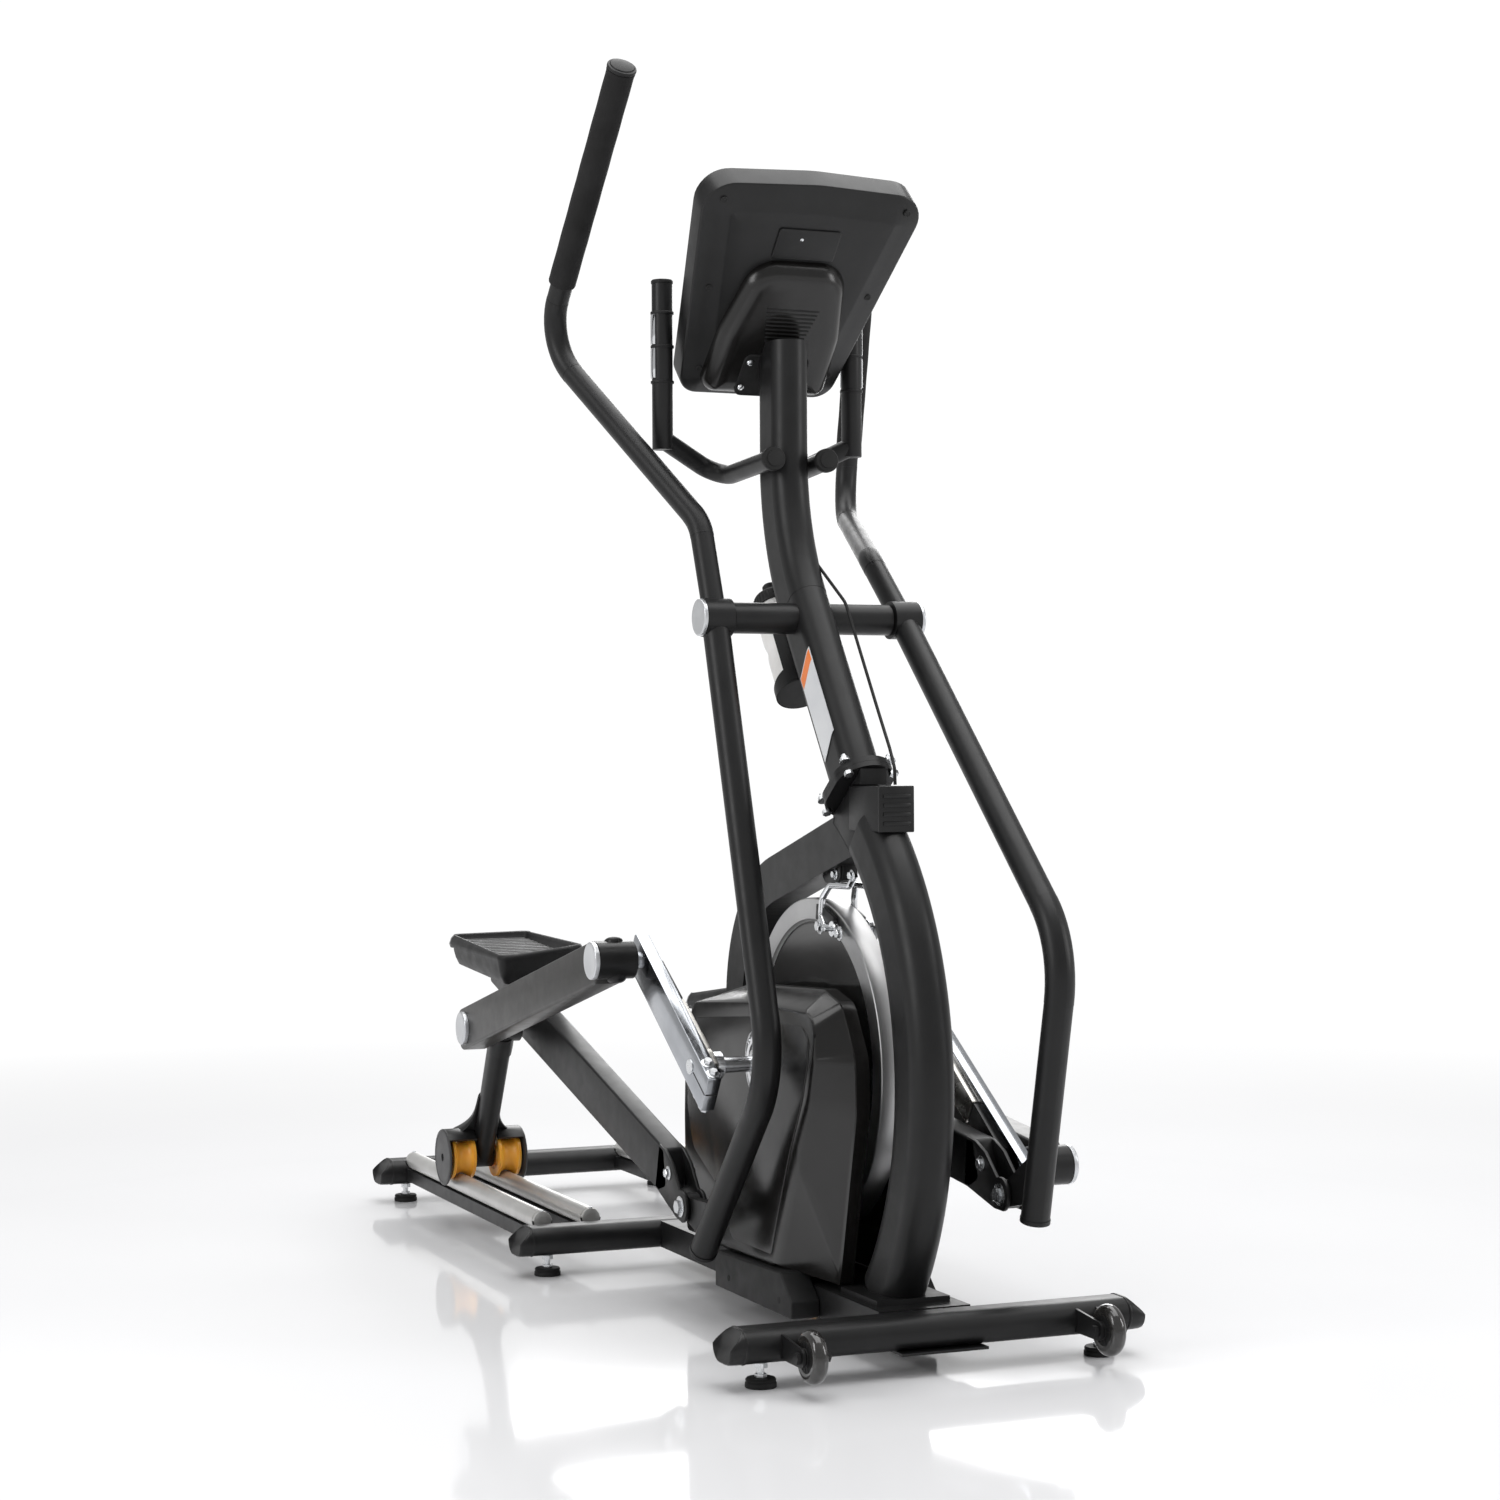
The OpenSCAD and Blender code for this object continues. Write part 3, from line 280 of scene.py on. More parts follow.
SLOT_MAT = {"aluminium_tube": "alu", "zinc": "zinc", "chrome": "chrome", "silver_cap": "silver", "amber": "amber",
    "black_rubber": "rubber", "foam": "foam", "steel": "rim", "gloss_black": "gloss", "black_plastic": "plastic",
    "dark_steel": "steel", "bottle_white": "milky", "red_plastic": "red", "black_paint": "paint"}
NODE_SLOT = {p["node"]: p["material_slot"] for p in frame["record"]["subparts"]}
SPECIAL = {"flywheel_disc": "disc", "shell_right": "gloss", "shell_left": "gloss", "cross_tube": "paint"}

for node, o in frame["nodes"].items():
    o.data.materials.clear()
    o.data.materials.append(M[SPECIAL.get(node, SLOT_MAT[NODE_SLOT[node]])])

# ---- mesh helpers
FLIP = turn(pi, "X")
bm = bmesh.new()  # the shape under construction; piece() takes it and starts the next


def add(name, data):
    """Object for some data, linked to the scene."""
    o = bpy.data.objects.new(name, data)
    bpy.context.scene.collection.objects.link(o)
    return o


def piece(name, mat, body="base", deg=40):
    """Object from the shape under construction; edges sharper than deg stay sharp."""
    global bm
    bmesh.ops.remove_doubles(bm, verts=bm.verts, dist=1e-6)
    bmesh.ops.recalc_face_normals(bm, faces=bm.faces)
    me = bpy.data.meshes.new(name)
    bm.to_mesh(me)
    bm.free()
    bm = bmesh.new()
    o = add(name, me)
    me.materials.append(M[mat])
    me.polygons.foreach_set("use_smooth", [True] * len(me.polygons))
    me.set_sharp_from_angle(angle=radians(deg))
    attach(o, body)
    return o


def circle(r, n=32):
    r = max(r, 1e-5)
    return [(r * cos(2 * pi * i / n), r * sin(2 * pi * i / n)) for i in range(n)]


def skin(rings, cap0=True, cap1=True):
    """Faces between closed rings of points; each ring has the same count."""
    vs = [[bm.verts.new(p) for p in r] for r in rings]
    n = len(vs[0])
    for a, b in zip(vs, vs[1:]):
        for i in range(n):
            j = (i + 1) % n
            if (a[i].co - a[j].co).length < 1e-9:
                continue
            bm.faces.new((a[i], a[j], b[j], b[i]))
    if cap0:
        bm.faces.new(list(reversed(vs[0])))
    if cap1:
        bm.faces.new(vs[-1])
    return vs


def lathe(prof, mat4, n=48, caps=True):
    """Revolve (radius, height) points about local Z of mat4."""
    return skin([[mat4 @ Vector((a, b, h)) for a, b in circle(r, n)] for r, h in prof], caps, caps)


def hoop(prof, mat4, n):
    """Revolved closed profile: its last point is joined to its first."""
    rings = lathe(prof, mat4, n, False)
    for i in range(n):
        j = (i + 1) % n
        bm.faces.new((rings[-1][i], rings[-1][j], rings[0][j], rings[0][i]))


def along_y(p, y, sign=1.0):
    """Frame at side-view point p and side position y whose local Z points to sign * Y."""
    return shift(p[0], y, p[-1]) @ turn(-pi / 2 * sign, "X")


def towards(p, d):
    """Frame at p whose local Z points along d."""
    return Matrix.Translation(p) @ Vector(d).to_track_quat("Z", "Y").to_matrix().to_4x4()


def prism(pts, y0, y1, mat4=WORLD, bevel=0.0, seg=3):
    """Side-view outline pts (x, z) between y0 and y1 in frame mat4, all edges rounded by bevel."""
    y0, y1 = sorted((y0, y1))
    t = bmesh.new()
    a = [t.verts.new((x, y0, z)) for x, z in pts]
    b = [t.verts.new((x, y1, z)) for x, z in pts]
    t.faces.new(a)
    t.faces.new(list(reversed(b)))
    n = len(pts)
    for i in range(n):
        t.faces.new((a[i], b[i], b[(i + 1) % n], a[(i + 1) % n]))
    bmesh.ops.recalc_face_normals(t, faces=t.faces)
    if bevel:
        edges = [e for e in t.edges if e.calc_face_angle(0) > radians(25)]
        bmesh.ops.bevel(t, geom=edges, offset=bevel, segments=seg, affect="EDGES", profile=0.5, clamp_overlap=True)
    t.transform(mat4)
    me = bpy.data.meshes.new("t")
    t.to_mesh(me)
    t.free()
    bm.from_mesh(me)
    bpy.data.meshes.remove(me)


def block(lo, hi, mat4, bevel=0.0, seg=2):
    """Box between two corners."""
    prism([(lo[0], lo[2]), (hi[0], lo[2]), (hi[0], hi[2]), (lo[0], hi[2])], lo[1], hi[1], mat4, bevel, seg)


def round_outline(pts, radii, n=6):
    """Closed 2D outline with rounded corners."""
    out = []
    k = len(pts)
    for i in range(k):
        p, a, b = Vector(pts[i]), Vector(pts[i - 1]), Vector(pts[(i + 1) % k])
        r = radii[i] if isinstance(radii, (list, tuple)) else radii
        u, v = (a - p).normalized(), (b - p).normalized()
        half = acos(max(-1, min(1, u.dot(v)))) / 2
        if r <= 0 or half > radians(89):
            out.append(tuple(p))
            continue
        t = min(r / tan(half), 0.48 * (a - p).length, 0.48 * (b - p).length)
        r = t * tan(half)
        c = p + (u + v).normalized() * (r / sin(half))
        s, e = p + u * t - c, p + v * t - c
        a0, a1 = atan2(s.y, s.x), atan2(e.y, e.x)
        d = (a1 - a0 + pi) % (2 * pi) - pi
        for j in range(n + 1):
            w = a0 + d * j / n
            out.append((c.x + r * cos(w), c.y + r * sin(w)))
    return out


def inset(pts, d):
    """Outline moved inwards by d (outwards if negative); pts run either way round."""
    n = len(pts)
    area = sum(pts[i][0] * pts[(i + 1) % n][1] - pts[(i + 1) % n][0] * pts[i][1] for i in range(n))
    sgn = 1 if area > 0 else -1
    out = []
    for i in range(n):
        p = Vector(pts[i])
        a = (p - Vector(pts[i - 1]))
        b = (Vector(pts[(i + 1) % n]) - p)
        if a.length < 1e-9:
            a = b
        if b.length < 1e-9:
            b = a
        na = Vector((-a.y, a.x)).normalized() * sgn
        nb = Vector((-b.y, b.x)).normalized() * sgn
        m = na + nb
        m = m.normalized() if m.length > 1e-6 else na
        c = max(0.35, m.dot(na))
        out.append(tuple(p + m * (d / c)))
    return out


def loop(pts, radii, d, n=6):
    """Corner points moved inwards by d, then rounded; the number of points never changes."""
    return round_outline(inset(pts, d), [max(r - d, 0.003) for r in radii], n)


def path_points(pts, rad):
    """Points along a polyline with rounded bends."""
    out = [Vector(pts[0])]
    for i in range(1, len(pts) - 1):
        p, a, b = Vector(pts[i]), Vector(pts[i - 1]), Vector(pts[i + 1])
        u, v = (p - a).normalized(), (b - p).normalized()
        th = acos(max(-1, min(1, u.dot(v))))
        if rad[i] <= 0 or th < 1e-4:
            out.append(p.copy())
            continue
        t = rad[i] * tan(th / 2)
        m = (v - u * u.dot(v)).normalized()
        c = p - u * t + m * rad[i]
        k = max(3, int(th / radians(5)))
        for j in range(k + 1):
            w = th * j / k
            out.append(c - m * rad[i] * cos(w) + u * rad[i] * sin(w))
    out.append(Vector(pts[-1]))
    return out


def sweep(pts, prof):
    """Sweep along points of a 2D profile, or of a function that gives it for 0 to 1 along the way."""
    rings = []
    n = len(pts)
    up = Vector((0, 1, 0))
    last = None
    for i, p in enumerate(pts):
        d = (pts[min(i + 1, n - 1)] - pts[max(i - 1, 0)]).normalized()
        if last is None:
            x = up - d * up.dot(d)
            if x.length < 1e-4:
                x = Vector((1, 0, 0)) - d * d.x
            x.normalize()
        else:
            x = (last - d * last.dot(d)).normalized()
        last = x
        y = d.cross(x)
        pr = prof(i / (n - 1)) if callable(prof) else prof
        rings.append([p + x * a + y * b for a, b in pr])
    return skin(rings)


def stadium(w, h, n=12):
    """w across the first axis, h across the second, with half-round ends."""
    if h < w:
        return [(b, -a) for a, b in stadium(h, w, n)]
    r, k = w / 2, (h - w) / 2
    half = [(r * cos(pi * i / n), k + r * sin(pi * i / n)) for i in range(n + 1)]
    return half + [(-a, -b) for a, b in half]


def hexbolt(m4, r, h, washer=True):
    """Hexagon head with a chamfered top and a washer, local Z outwards."""
    z = 0.0
    if washer:
        lathe([(r * 1.45, 0), (r * 1.5, 0.0004), (r * 1.5, 0.0014), (r * 1.42, 0.0018)], m4, 32)
        z = 0.0018
    lathe([(r, z), (r, z + h * 0.85), (r * 0.88, z + h)], m4, 6)


def rounded_cap(m4, r, h, edge, dish, n=56):
    """Round cap with a rounded edge and a slightly hollow face, local Z outwards."""
    prof = [(r, 0.0), (r, h - edge)]
    for i in range(1, 6):
        a = pi / 2 * i / 5
        prof.append((r - edge + edge * cos(a), h - edge + edge * sin(a)))
    prof += [(r * 0.72, h - dish * 0.2), (r * 0.4, h - dish * 0.75), (r * 0.1, h - dish)]
    lathe(prof, m4, n)


# ---- arms, covers
for s, nm in SIDE.items():
    body = f"arm_{nm}"
    B = plane(P2[s], BEAM_A[s])
    # beam: box tube with soft edges
    out = round_outline([(-0.038, -0.039), (BEAM_LEN - 0.018, -0.036), (BEAM_LEN + 0.012, -0.014),
        (BEAM_LEN + 0.012, 0.014), (BEAM_LEN - 0.018, 0.036), (-0.038, 0.039)], mm(22, 12, 10, 10, 12, 22), 6)
    prism(out, s * 0.255, s * 0.3, B, 0.0035, 3)
    o = piece(f"arm_beam_{nm}", "beam", body)
    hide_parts(f"arm_{nm}")
    # rear sleeve, front sleeve, pin domes
    for p, a, b, r in ((P2[s], 0.192, 0.3, 0.028), (pin(s), 0.237, 0.3042, 0.031)):
        m4 = along_y(p, s * a, s)
        h = b - a
        lathe([(r - 0.012, 0), (r - 0.002, 0), (r, 0.0015), (r, h - 0.0015), (r - 0.002, h), (0.01, h)], m4, 56)
    for e in (-1, 1):
        m4 = B @ shift(BEAM_LEN, s * 0.268, 0.029 * e) @ (FLIP if e < 0 else WORLD)
        lathe(mm((15.5, -4), (15.5, 3), (14.5, 5.2), (12, 7.2), (8, 8.8), (3, 9.4)), m4, 40)
    piece(f"arm_sleeves_{nm}", "satin", body)
    # leg, pill section that narrows a little towards the rollers
    top = Vector((P2[s].x, s * LEG_Y, P2[s].z))
    low = Vector((ROLL[s].x, s * LEG_Y, ROLL[s].z))
    pts = [top.lerp(low, i / 14) for i in range(15)]
    sweep(pts, lambda t: stadium(0.04 - 0.002 * t, 0.056 - 0.006 * t, 10))
    lathe(mm((8, 0), (21.5, 0), (22.5, 1.5), (22.5, 37), (21.5, 38.5), (8, 38.5)), along_y(ROLL[s], s * 0.2058, s), 40)
    piece(f"arm_leg_{nm}", "paint", body)
    # collar where the leg meets the beam
    d = (low - top).normalized()
    pts = [top + d * (0.016 + 0.006 * i) for i in range(7)]
    sweep(pts, lambda t: stadium(0.0455 - 0.003 * abs(t - 0.5), 0.0615 - 0.003 * abs(t - 0.5), 12))
    piece(f"arm_collar_{nm}", "satin", body)
    # shafts
    lathe(mm((9.5, 0), (10, 0.6), (10, 60)), along_y(P2[s], s * 0.141, s), 32)
    hexbolt(along_y(P2[s], s * 0.1412, -s), 0.0085, 0.004)
    lathe(mm((6.5, 0), (7, 0.6), (7, 149.4), (6.5, 150)), along_y(ROLL[s], s * 0.149, s), 32)
    piece(f"arm_shafts_{nm}", "zinc", body)
    # silver caps
    rounded_cap(along_y(P2[s], s * 0.3004, s), 0.031, 0.008, 0.0026, 0.0012)
    rounded_cap(along_y(pin(s), s * 0.3044, s), 0.031, 0.008, 0.0026, 0.0012)
    o = piece(f"arm_caps_{nm}.fine", "silver", body)
    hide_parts(f"arm_caps_{nm}")
    # moulded fairing behind the leg: wide on the covers, narrowing to the leg
    back = Vector((-d.z, 0, d.x))
    if back.x > 0:
        back = -back
    up = (top - low).normalized()
    rings = []
    for i in range(19):
        t = i / 18
        base = low + up * (0.036 + 0.092 * t)
        wide = 0.048 * (1 - t) ** 4.5 + 0.0065 * (1 - t) + 0.0228
        deep = 0.026 * (1 - t) ** 1.3 + 0.03
        front = 0.01 + 0.002 * t
        across = [-1 + j / 8 for j in range(17)]
        ring = [Vector((base.x, s * LEG_Y + wide * w,
            base.z)) + back * (deep * (1 - abs(w) ** 3.2) + front * abs(w) ** 3.2) for w in across]
        rings.append(ring + [Vector((base.x, s * LEG_Y - (wide - 0.002) * w, base.z)) + back * (front - 0.003)
            for w in across])
    skin(rings)
    piece(f"arm_fairing_{nm}", "satin", body, 50)
    # roller covers: shells over the top and rear, open towards the front and the rail
    for a, b in mm((149, 204), (304, 246)):
        rings = []
        for i in range(37):
            w = radians(43 + 157 * i / 36)
            cw, sw = cos(w), sin(w)
            sec = [(0.0495, a + (b - a) * 0.05), (0.0495, b), (0.0512, b), (0.0532, b - (b - a) * 0.01),
                (0.054, b - (b - a) * 0.04), (0.054, a + (b - a) * 0.05), (0.0528, a)]
            rings.append([Vector((ROLL[s].x + r * cw, s * y, ROLL[s].z + r * sw)) for r, y in sec])
        skin(rings)
    o = piece(f"roller_shells_{nm}", "satin", f"carriage_{nm}")
    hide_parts(f"roller_covers_{nm}")
    for a, sg in ((0.304, 1), (0.149, -1)):
        m4 = along_y(ROLL[s], s * (a - 0.0045 * sg), s * sg)
        hoop(mm((7.8, 0), (50.5, 0), (53.6, 0.8), (54.1, 2.2), (53.2, 4), (50.8, 4.8), (47.5, 5), (47, 4.4), (20, 4.6),
            (7.8, 4.6)), m4, 72)
    piece(f"roller_discs_{nm}", "dark_grey", f"carriage_{nm}", 30)

# ---- cranks
for s, nm in SIDE.items():
    K = plane(C, PHASE[s])
    out = round_outline([(-0.072, -0.032), (CRANK + 0.026, -0.032), (CRANK + 0.032, -0.026), (CRANK + 0.032, 0.026),
        (CRANK + 0.026, 0.032), (-0.072, 0.032)], mm(3, 4, 4, 4, 4, 3), 3)
    prism(out, s * 0.207, s * 0.229, K, 0.0012, 2)
    o = piece(f"crank_bar_{nm}", "bar_steel", "crank")
    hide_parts(f"crank_{nm}")
    # split line of the clamp on the outer face and along its two edges
    prism(round_outline(mm((-71.5, -1.1), (-15, -1.1), (-15, 1.1), (-71.5, 1.1)), 0.0005, 2), s * 0.2286, s * 0.2294,
        K)
    block((-0.0724, s * 0.2085, -0.0011), (-0.0712, s * 0.2275, 0.0011), K)
    piece(f"crank_split_{nm}", "shade_and_seam", "crank")
    # inner stiffener: dark upper half, bright lower half
    prism(round_outline([(0.15, -0.0205), (CRANK - 0.028, -0.0175), (CRANK - 0.014, 0.0), (CRANK - 0.028, 0.0175),
        (0.15, 0.0205)], mm(2, 4, 6, 4, 2), 3), s * 0.1965, s * 0.2075, K, 0.0016, 2)
    piece(f"crank_web_{nm}", "satin", "crank")
    prism(round_outline(mm((-30, -26.5), (148, -21.2), (148, 21.2), (-30, 26.5)), mm(4, 2, 2, 4), 3), s * 0.1955,
        s * 0.2075, K, 0.0016, 2)
    lathe(mm((13, 0), (26, 0), (27.5, 1.5), (27.5, 12), (13, 12)), along_y(C, s * 0.1955, s), 48)
    piece(f"crank_stiffener_{nm}", "satin_steel", "crank")
    lathe(mm((13.5, 0), (13.5, 6), (10, 6.5), (10, 22.5), (9.2, 23.2)), along_y(pin(s), s * 0.229, s), 40)
    for x in (-0.06, -0.034):
        for e in (-1, 1):
            m4 = K @ shift(x, s * 0.218, 0.0318 * e) @ (FLIP if e < 0 else WORLD)
            hexbolt(m4, 0.0072, 0.0062)
    rounded_cap(along_y(C, s * 0.2288, s), 0.0122, 0.003, 0.001, 0.0004, 40)
    piece(f"crank_bolts_{nm}", "zinc", "crank")
lathe(mm((11.5, 0), (12.5, 1), (12.5, 457), (11.5, 458)), along_y(C, -0.229, 1), 48)
for s in (-1, 1):
    lathe(mm((12.6, 0), (20.5, 0), (21.5, 1), (21.5, 16), (20.5, 17), (12.6, 17)), along_y(C, s * 0.178, s), 48)
o = piece("crank_axle.fine", "chrome", "crank")
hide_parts("crank_axle")
for s in (-1, 1):
    m4 = along_y(C, s * 0.1104, s)
    lathe(mm((14.2, 0), (58, 0), (58.8, 1), (58.2, 3), (54, 4.8), (40, 6), (24, 6.2), (22, 7.8), (14.2, 8)), m4, 72,
        False)
    for i in range(6):
        w = pi / 3 * i + 0.3
        p = (C.x + 0.046 * cos(w), C.z + 0.046 * sin(w))
        lathe(mm((4.2, 0), (4.2, 1.2), (3.2, 2), (0.8, 2.2)), along_y(p, s * 0.1155, s), 20)
o = piece("axle_cover_discs", "chrome")
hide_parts("axle_covers")

# ---- footplate links and footplates
for s, nm in SIDE.items():
    body = f"link_{nm}"
    L = plane(P2[s], LINK_A[s])
    out = round_outline([(-0.059, 0.012), (-0.04, -0.02), (-0.018, -0.0255), (LINK_LEN - 0.1, -0.016),
        (LINK_LEN - 0.066, 0.004), (LINK_LEN - 0.094, 0.062), (-0.034, 0.0635), (-0.059, 0.042)],
        mm(22, 22, 20, 4, 12, 10, 22, 22), 6)
    prism(out, s * 0.146, s * 0.184, L, 0.0048, 3)
    o = piece(f"link_tube_{nm}", "paint", body)
    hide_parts(f"link_{nm}")
    # clevis cheeks
    for a, b in mm((146, 152.2), (178, 184)):
        pts = [(LINK_LEN - 0.118, -0.014), (LINK_LEN - 0.016, -0.0255)]
        pts += [(LINK_LEN + 0.0265 * cos(w), 0.0265 * sin(w)) for w in [radians(-60 + 15 * i) for i in range(13)]]
        pts += [(LINK_LEN - 0.056, 0.052), (LINK_LEN - 0.09, 0.0615), (LINK_LEN - 0.118, 0.0618)]
        prism(pts, s * a, s * b, L, 0.0012, 2)
    piece(f"link_clevis_{nm}", "paint", body)
    for y, sg in ((0.184, 1), (0.146, -1)):
        hexbolt(along_y(FOOT[s], s * y, s * sg), 0.0115, 0.0068)
        p = L @ Vector((LINK_LEN - 0.064, 0, 0.032))
        hexbolt(along_y(p, s * y, s * sg), 0.0078, 0.0055)
    for a in (0.146, 0.178):
        lathe(mm((6, 0), (6, 6.4)), along_y(FOOT[s], s * a, s), 24)
    piece(f"link_bolts_{nm}", "zinc", body)
    # footplate: tray with a moulded rim
    F = L @ shift(-0.132, s * LINK_Y, 0.083) @ turn(LINK_A[-1] + radians(3.5), "Y")
    hw, hl = 0.084, 0.1725  # half width and half length
    rect = [(-hl, -hw), (hl - 0.012, -hw), (hl, -hw + 0.03), (hl, hw - 0.03), (hl - 0.012, hw), (-hl, hw)]
    rect_r = mm(22, 34, 30, 30, 34, 22)

    def rim(x, y):
        """Rim height over the plate: high rounded toe, higher on the inner side."""
        inner = -s * y / hw
        toe = max(0.0, (x + 0.02) / hl)
        return 0.031 - 0.004 * toe + 0.016 * (0.5 + 0.5 * inner) * (0.2 + toe)

    def ring(d, z, follow=0.0, back=0.0, drop=0.0):
        """Ring d inside the outline at height z, over the rim if follow is 1; the heel goes back and down."""
        res = []
        for x, y in loop(rect, rect_r, d, 9):
            heel = max(0.0, (-x - hl + 0.06) / 0.06)
            res.append(F @ Vector((x - back * heel, y, z + follow * rim(x, y) - drop * heel)))
        return res

    rings = [ring(0.03, -0.024), ring(0.022, -0.0245), ring(0.016, -0.0215), ring(0.009, -0.008), ring(0.0055, 0.004),
        ring(0.0035, 0.016), ring(0.0015, -0.004, 1.0, 0.016, 0.022), ring(0.0, 0.0, 1.0, 0.018, 0.02),
        ring(0.002, 0.004, 1.0, 0.012, 0.01), ring(0.006, 0.0055, 1.0, 0.004, 0.002), ring(0.0095, 0.004, 1.0),
        ring(0.0115, -0.001, 1.0), ring(0.0135, 0.025), ring(0.017, 0.0225)]
    skin(rings)
    o = piece(f"footplate_tray_{nm}", "plastic", body, 50)
    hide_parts(f"footplate_{nm}")
    # ribbed tread
    for i in range(13):
        x = -hl + 0.03 + i * 0.024
        w = hw - 0.0175 - max(0.0, x - (hl - 0.05)) * 0.8 - max(0.0, -x - (hl - 0.04)) * 0.3
        rib = mm((-6.2, 0), (-5.6, 4.2), (-3.5, 5.8), (3.5, 5.8), (5.6, 4.2), (6.2, 0))
        skin([[F @ Vector((x + a, y, 0.022 + b)) for a, b in rib] for y in (-w, w)])
    piece(f"footplate_ribs_{nm}", "tread", body, 30)
    # satin heel flank
    base = loop(rect, rect_r, 0.0, 9)
    sel = [i for i, (x, y) in enumerate(base) if x < -hl + 0.085]
    lips = [ring(d, z, 1.0, back, drop) for d, z, back, drop in ((0.001, -0.003, 0.017, 0.0212),
        (-0.0006, 0.0005, 0.0186, 0.0194), (0.0016, 0.0048, 0.0126, 0.0096), (0.0058, 0.0064, 0.0044, 0.0018),
        (0.006, 0.004, 0.004, 0.002), (0.003, 0.0015, 0.012, 0.011))]
    order = sorted(sel, key=lambda i: atan2(base[i][1], -base[i][0]))
    skin([[q[i] for q in lips] for i in order])
    piece(f"footplate_lip_{nm}", "lip", body, 50)
    # bracket below the plate
    prism(round_outline(mm((-236, 8), (-40, 8), (28, 40), (28, 78), (-10, 80), (-236, 26)), 0.006, 3), s * 0.151,
        s * 0.179, L, 0.002, 2)
    piece(f"footplate_bracket_{nm}", "paint", body)

# ---- hand grips
for s, nm in SIDE.items():
    a = LEVER_A[s]

    def lv(f, d, y):
        return Vector((S.x + f * cos(a) + d * sin(a), s * y, S.z - d * cos(a) + f * sin(a)))

    g, t = lv(-0.372, -0.529, 0.317), lv(-0.132, -0.856, 0.31)
    d = t - g
    ln = d.length
    prof = mm((19.4, 0), (21.2, 0), (22.6, 1.2), (23.2, 3.5), (23, 8))
    prof += [(0.023 + 0.00018 * sin(i * 0.9), 0.008 + (ln - 0.014) * i / 40) for i in range(1, 40)]
    prof += [(0.023, ln - 0.006), (0.0236, ln - 0.003), (0.0236, ln), (0.021, ln + 0.0008), (0.0192, ln + 0.0008)]
    lathe(prof, towards(g, d), 48, False)
    o = piece(f"hand_foam_{nm}", "foam", f"lever_{nm}", 50)
    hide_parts(f"hand_grip_{nm}")
    lathe(mm((12, -4), (23.4, 1), (24.2, 2), (24.2, 5), (23.4, 6.6), (20.5, 7.2), (20, 6.6), (19, 8.8), (14, 10.2),
        (6, 10.8)), towards(t, d), 48)
    piece(f"hand_plug_{nm}", "plastic", f"lever_{nm}")
# silver pivot caps
for s in (-1, 1):
    rounded_cap(along_y(S, s * 0.1878, s), 0.03, 0.0062, 0.0024, 0.0008)
o = piece("pivot_caps", "silver")
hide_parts("lever_caps")

# ---- casing halves
OUT = side_view((-712, 500), (-556, 531), (-255, 543), (-190, 526), (-139, 446), (-136, 366), (-163, 258), (-189, 150),
    (-204, 94), (-736, 94), (-742, 180), (-745, 300), (-738, 440))
FACE = side_view((-690, 492), (-435, 512), (-212, 512), (-180, 492), (-188, 440), (-209, 380), (-259, 295),
    (-301, 200), (-345, 106), (-724, 106), (-730, 180), (-733, 300), (-726, 430))
out_r = mm(34, 250, 30, 36, 45, 120, 200, 200, 8, 12, 100, 200, 80)
face_r = mm(30, 250, 20, 30, 40, 120, 200, 200, 8, 12, 100, 200, 80)


def case_ring(t, y, d=0.0):
    """Ring between the widest outline (t=0) and the flat side face (t=1)."""
    a, b = loop(OUT, out_r, d, 7), loop(FACE, face_r, d, 7)
    return [Vector((p[0] * (1 - t) + q[0] * t, y, p[1] * (1 - t) + q[1] * t)) for p, q in zip(a, b)]


for s, nm in SIDE.items():
    # rings from the parting face outwards, stepping in a little, over a soft corner onto the side
    rings = [case_ring(t, s * y, d) for t, y, d in ((0, 0.04, 0.006), (0, 0.038, 0.004), (0, 0.038, 0.001),
        (0, 0.0385, 0), (0, 0.06, 0), (0.06, 0.0606, 0), (0.1, 0.0612, 0), (0.82, 0.1052, 0), (0.95, 0.1086, 0),
        (1, 0.1095, 0), (1, 0.1099, 0.004), (1, 0.11, 0.01))]
    skin(rings, False, True)
    o = piece(f"casing_{nm}", "gloss", deg=30)
    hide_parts(f"shell_{nm}")
    # inner dividing wall beside the flywheel
    skin([case_ring(0, s * y, 0.005) for y in (0.0388, 0.0412)])
    piece(f"casing_wall_{nm}", "gloss")
    # raised side panel with a scooped lower rear
    panel = round_outline(side_view((-676, 470), (-430, 490), (-228, 490), (-200, 474), (-208, 432), (-228, 376),
        (-278, 290), (-320, 200), (-352, 122), (-520, 122), (-572, 196), (-690, 250), (-716, 320), (-708, 416)),
        mm(30, 200, 20, 30, 40, 120, 200, 100, 10, 30, 50, 40, 40, 50), 6)
    prism(panel, s * 0.1085, s * 0.1114, WORLD, 0.0012, 3)
    piece(f"casing_panel_{nm}", "gloss")
    # lid seam along the top
    top_line = side_view((-700, 502.6), (-556, 531.2), (-262, 543.0))
    for (xa, za), (xb, zb) in zip(top_line, top_line[1:]):
        d2 = Vector((xb - xa, 0, zb - za))
        block((0.0, -0.001, -0.0006), (d2.length, 0.001, 0.0004),
            plane((xa, za), atan2(d2.z, d2.x)) @ shift(0, s * 0.05, 0))
    piece(f"casing_seam_{nm}", "shade_and_seam")
    # foot cover
    cover = round_outline(side_view((-560, 40), (-243, 40), (-243, 66), (-288, 106), (-560, 98)), mm(3, 5, 6, 10, 4),
        4)
    prism(cover, s * 0.076, s * 0.124, WORLD, 0.0045, 3)
    o = piece(f"foot_cover_{nm}", "plastic")
    if s < 0:
        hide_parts("foot_covers")
    # thin near-black discs of painted shade stand for the two holes in the cover
    for x in (-500, -292):
        lathe(mm((5.2, 0), (5.2, 0.6), (0.8, 0.6)), along_y((mx(x), 0.062), s * 0.1238, s), 24)
    piece(f"foot_cover_holes_{nm}", "shade_and_seam")

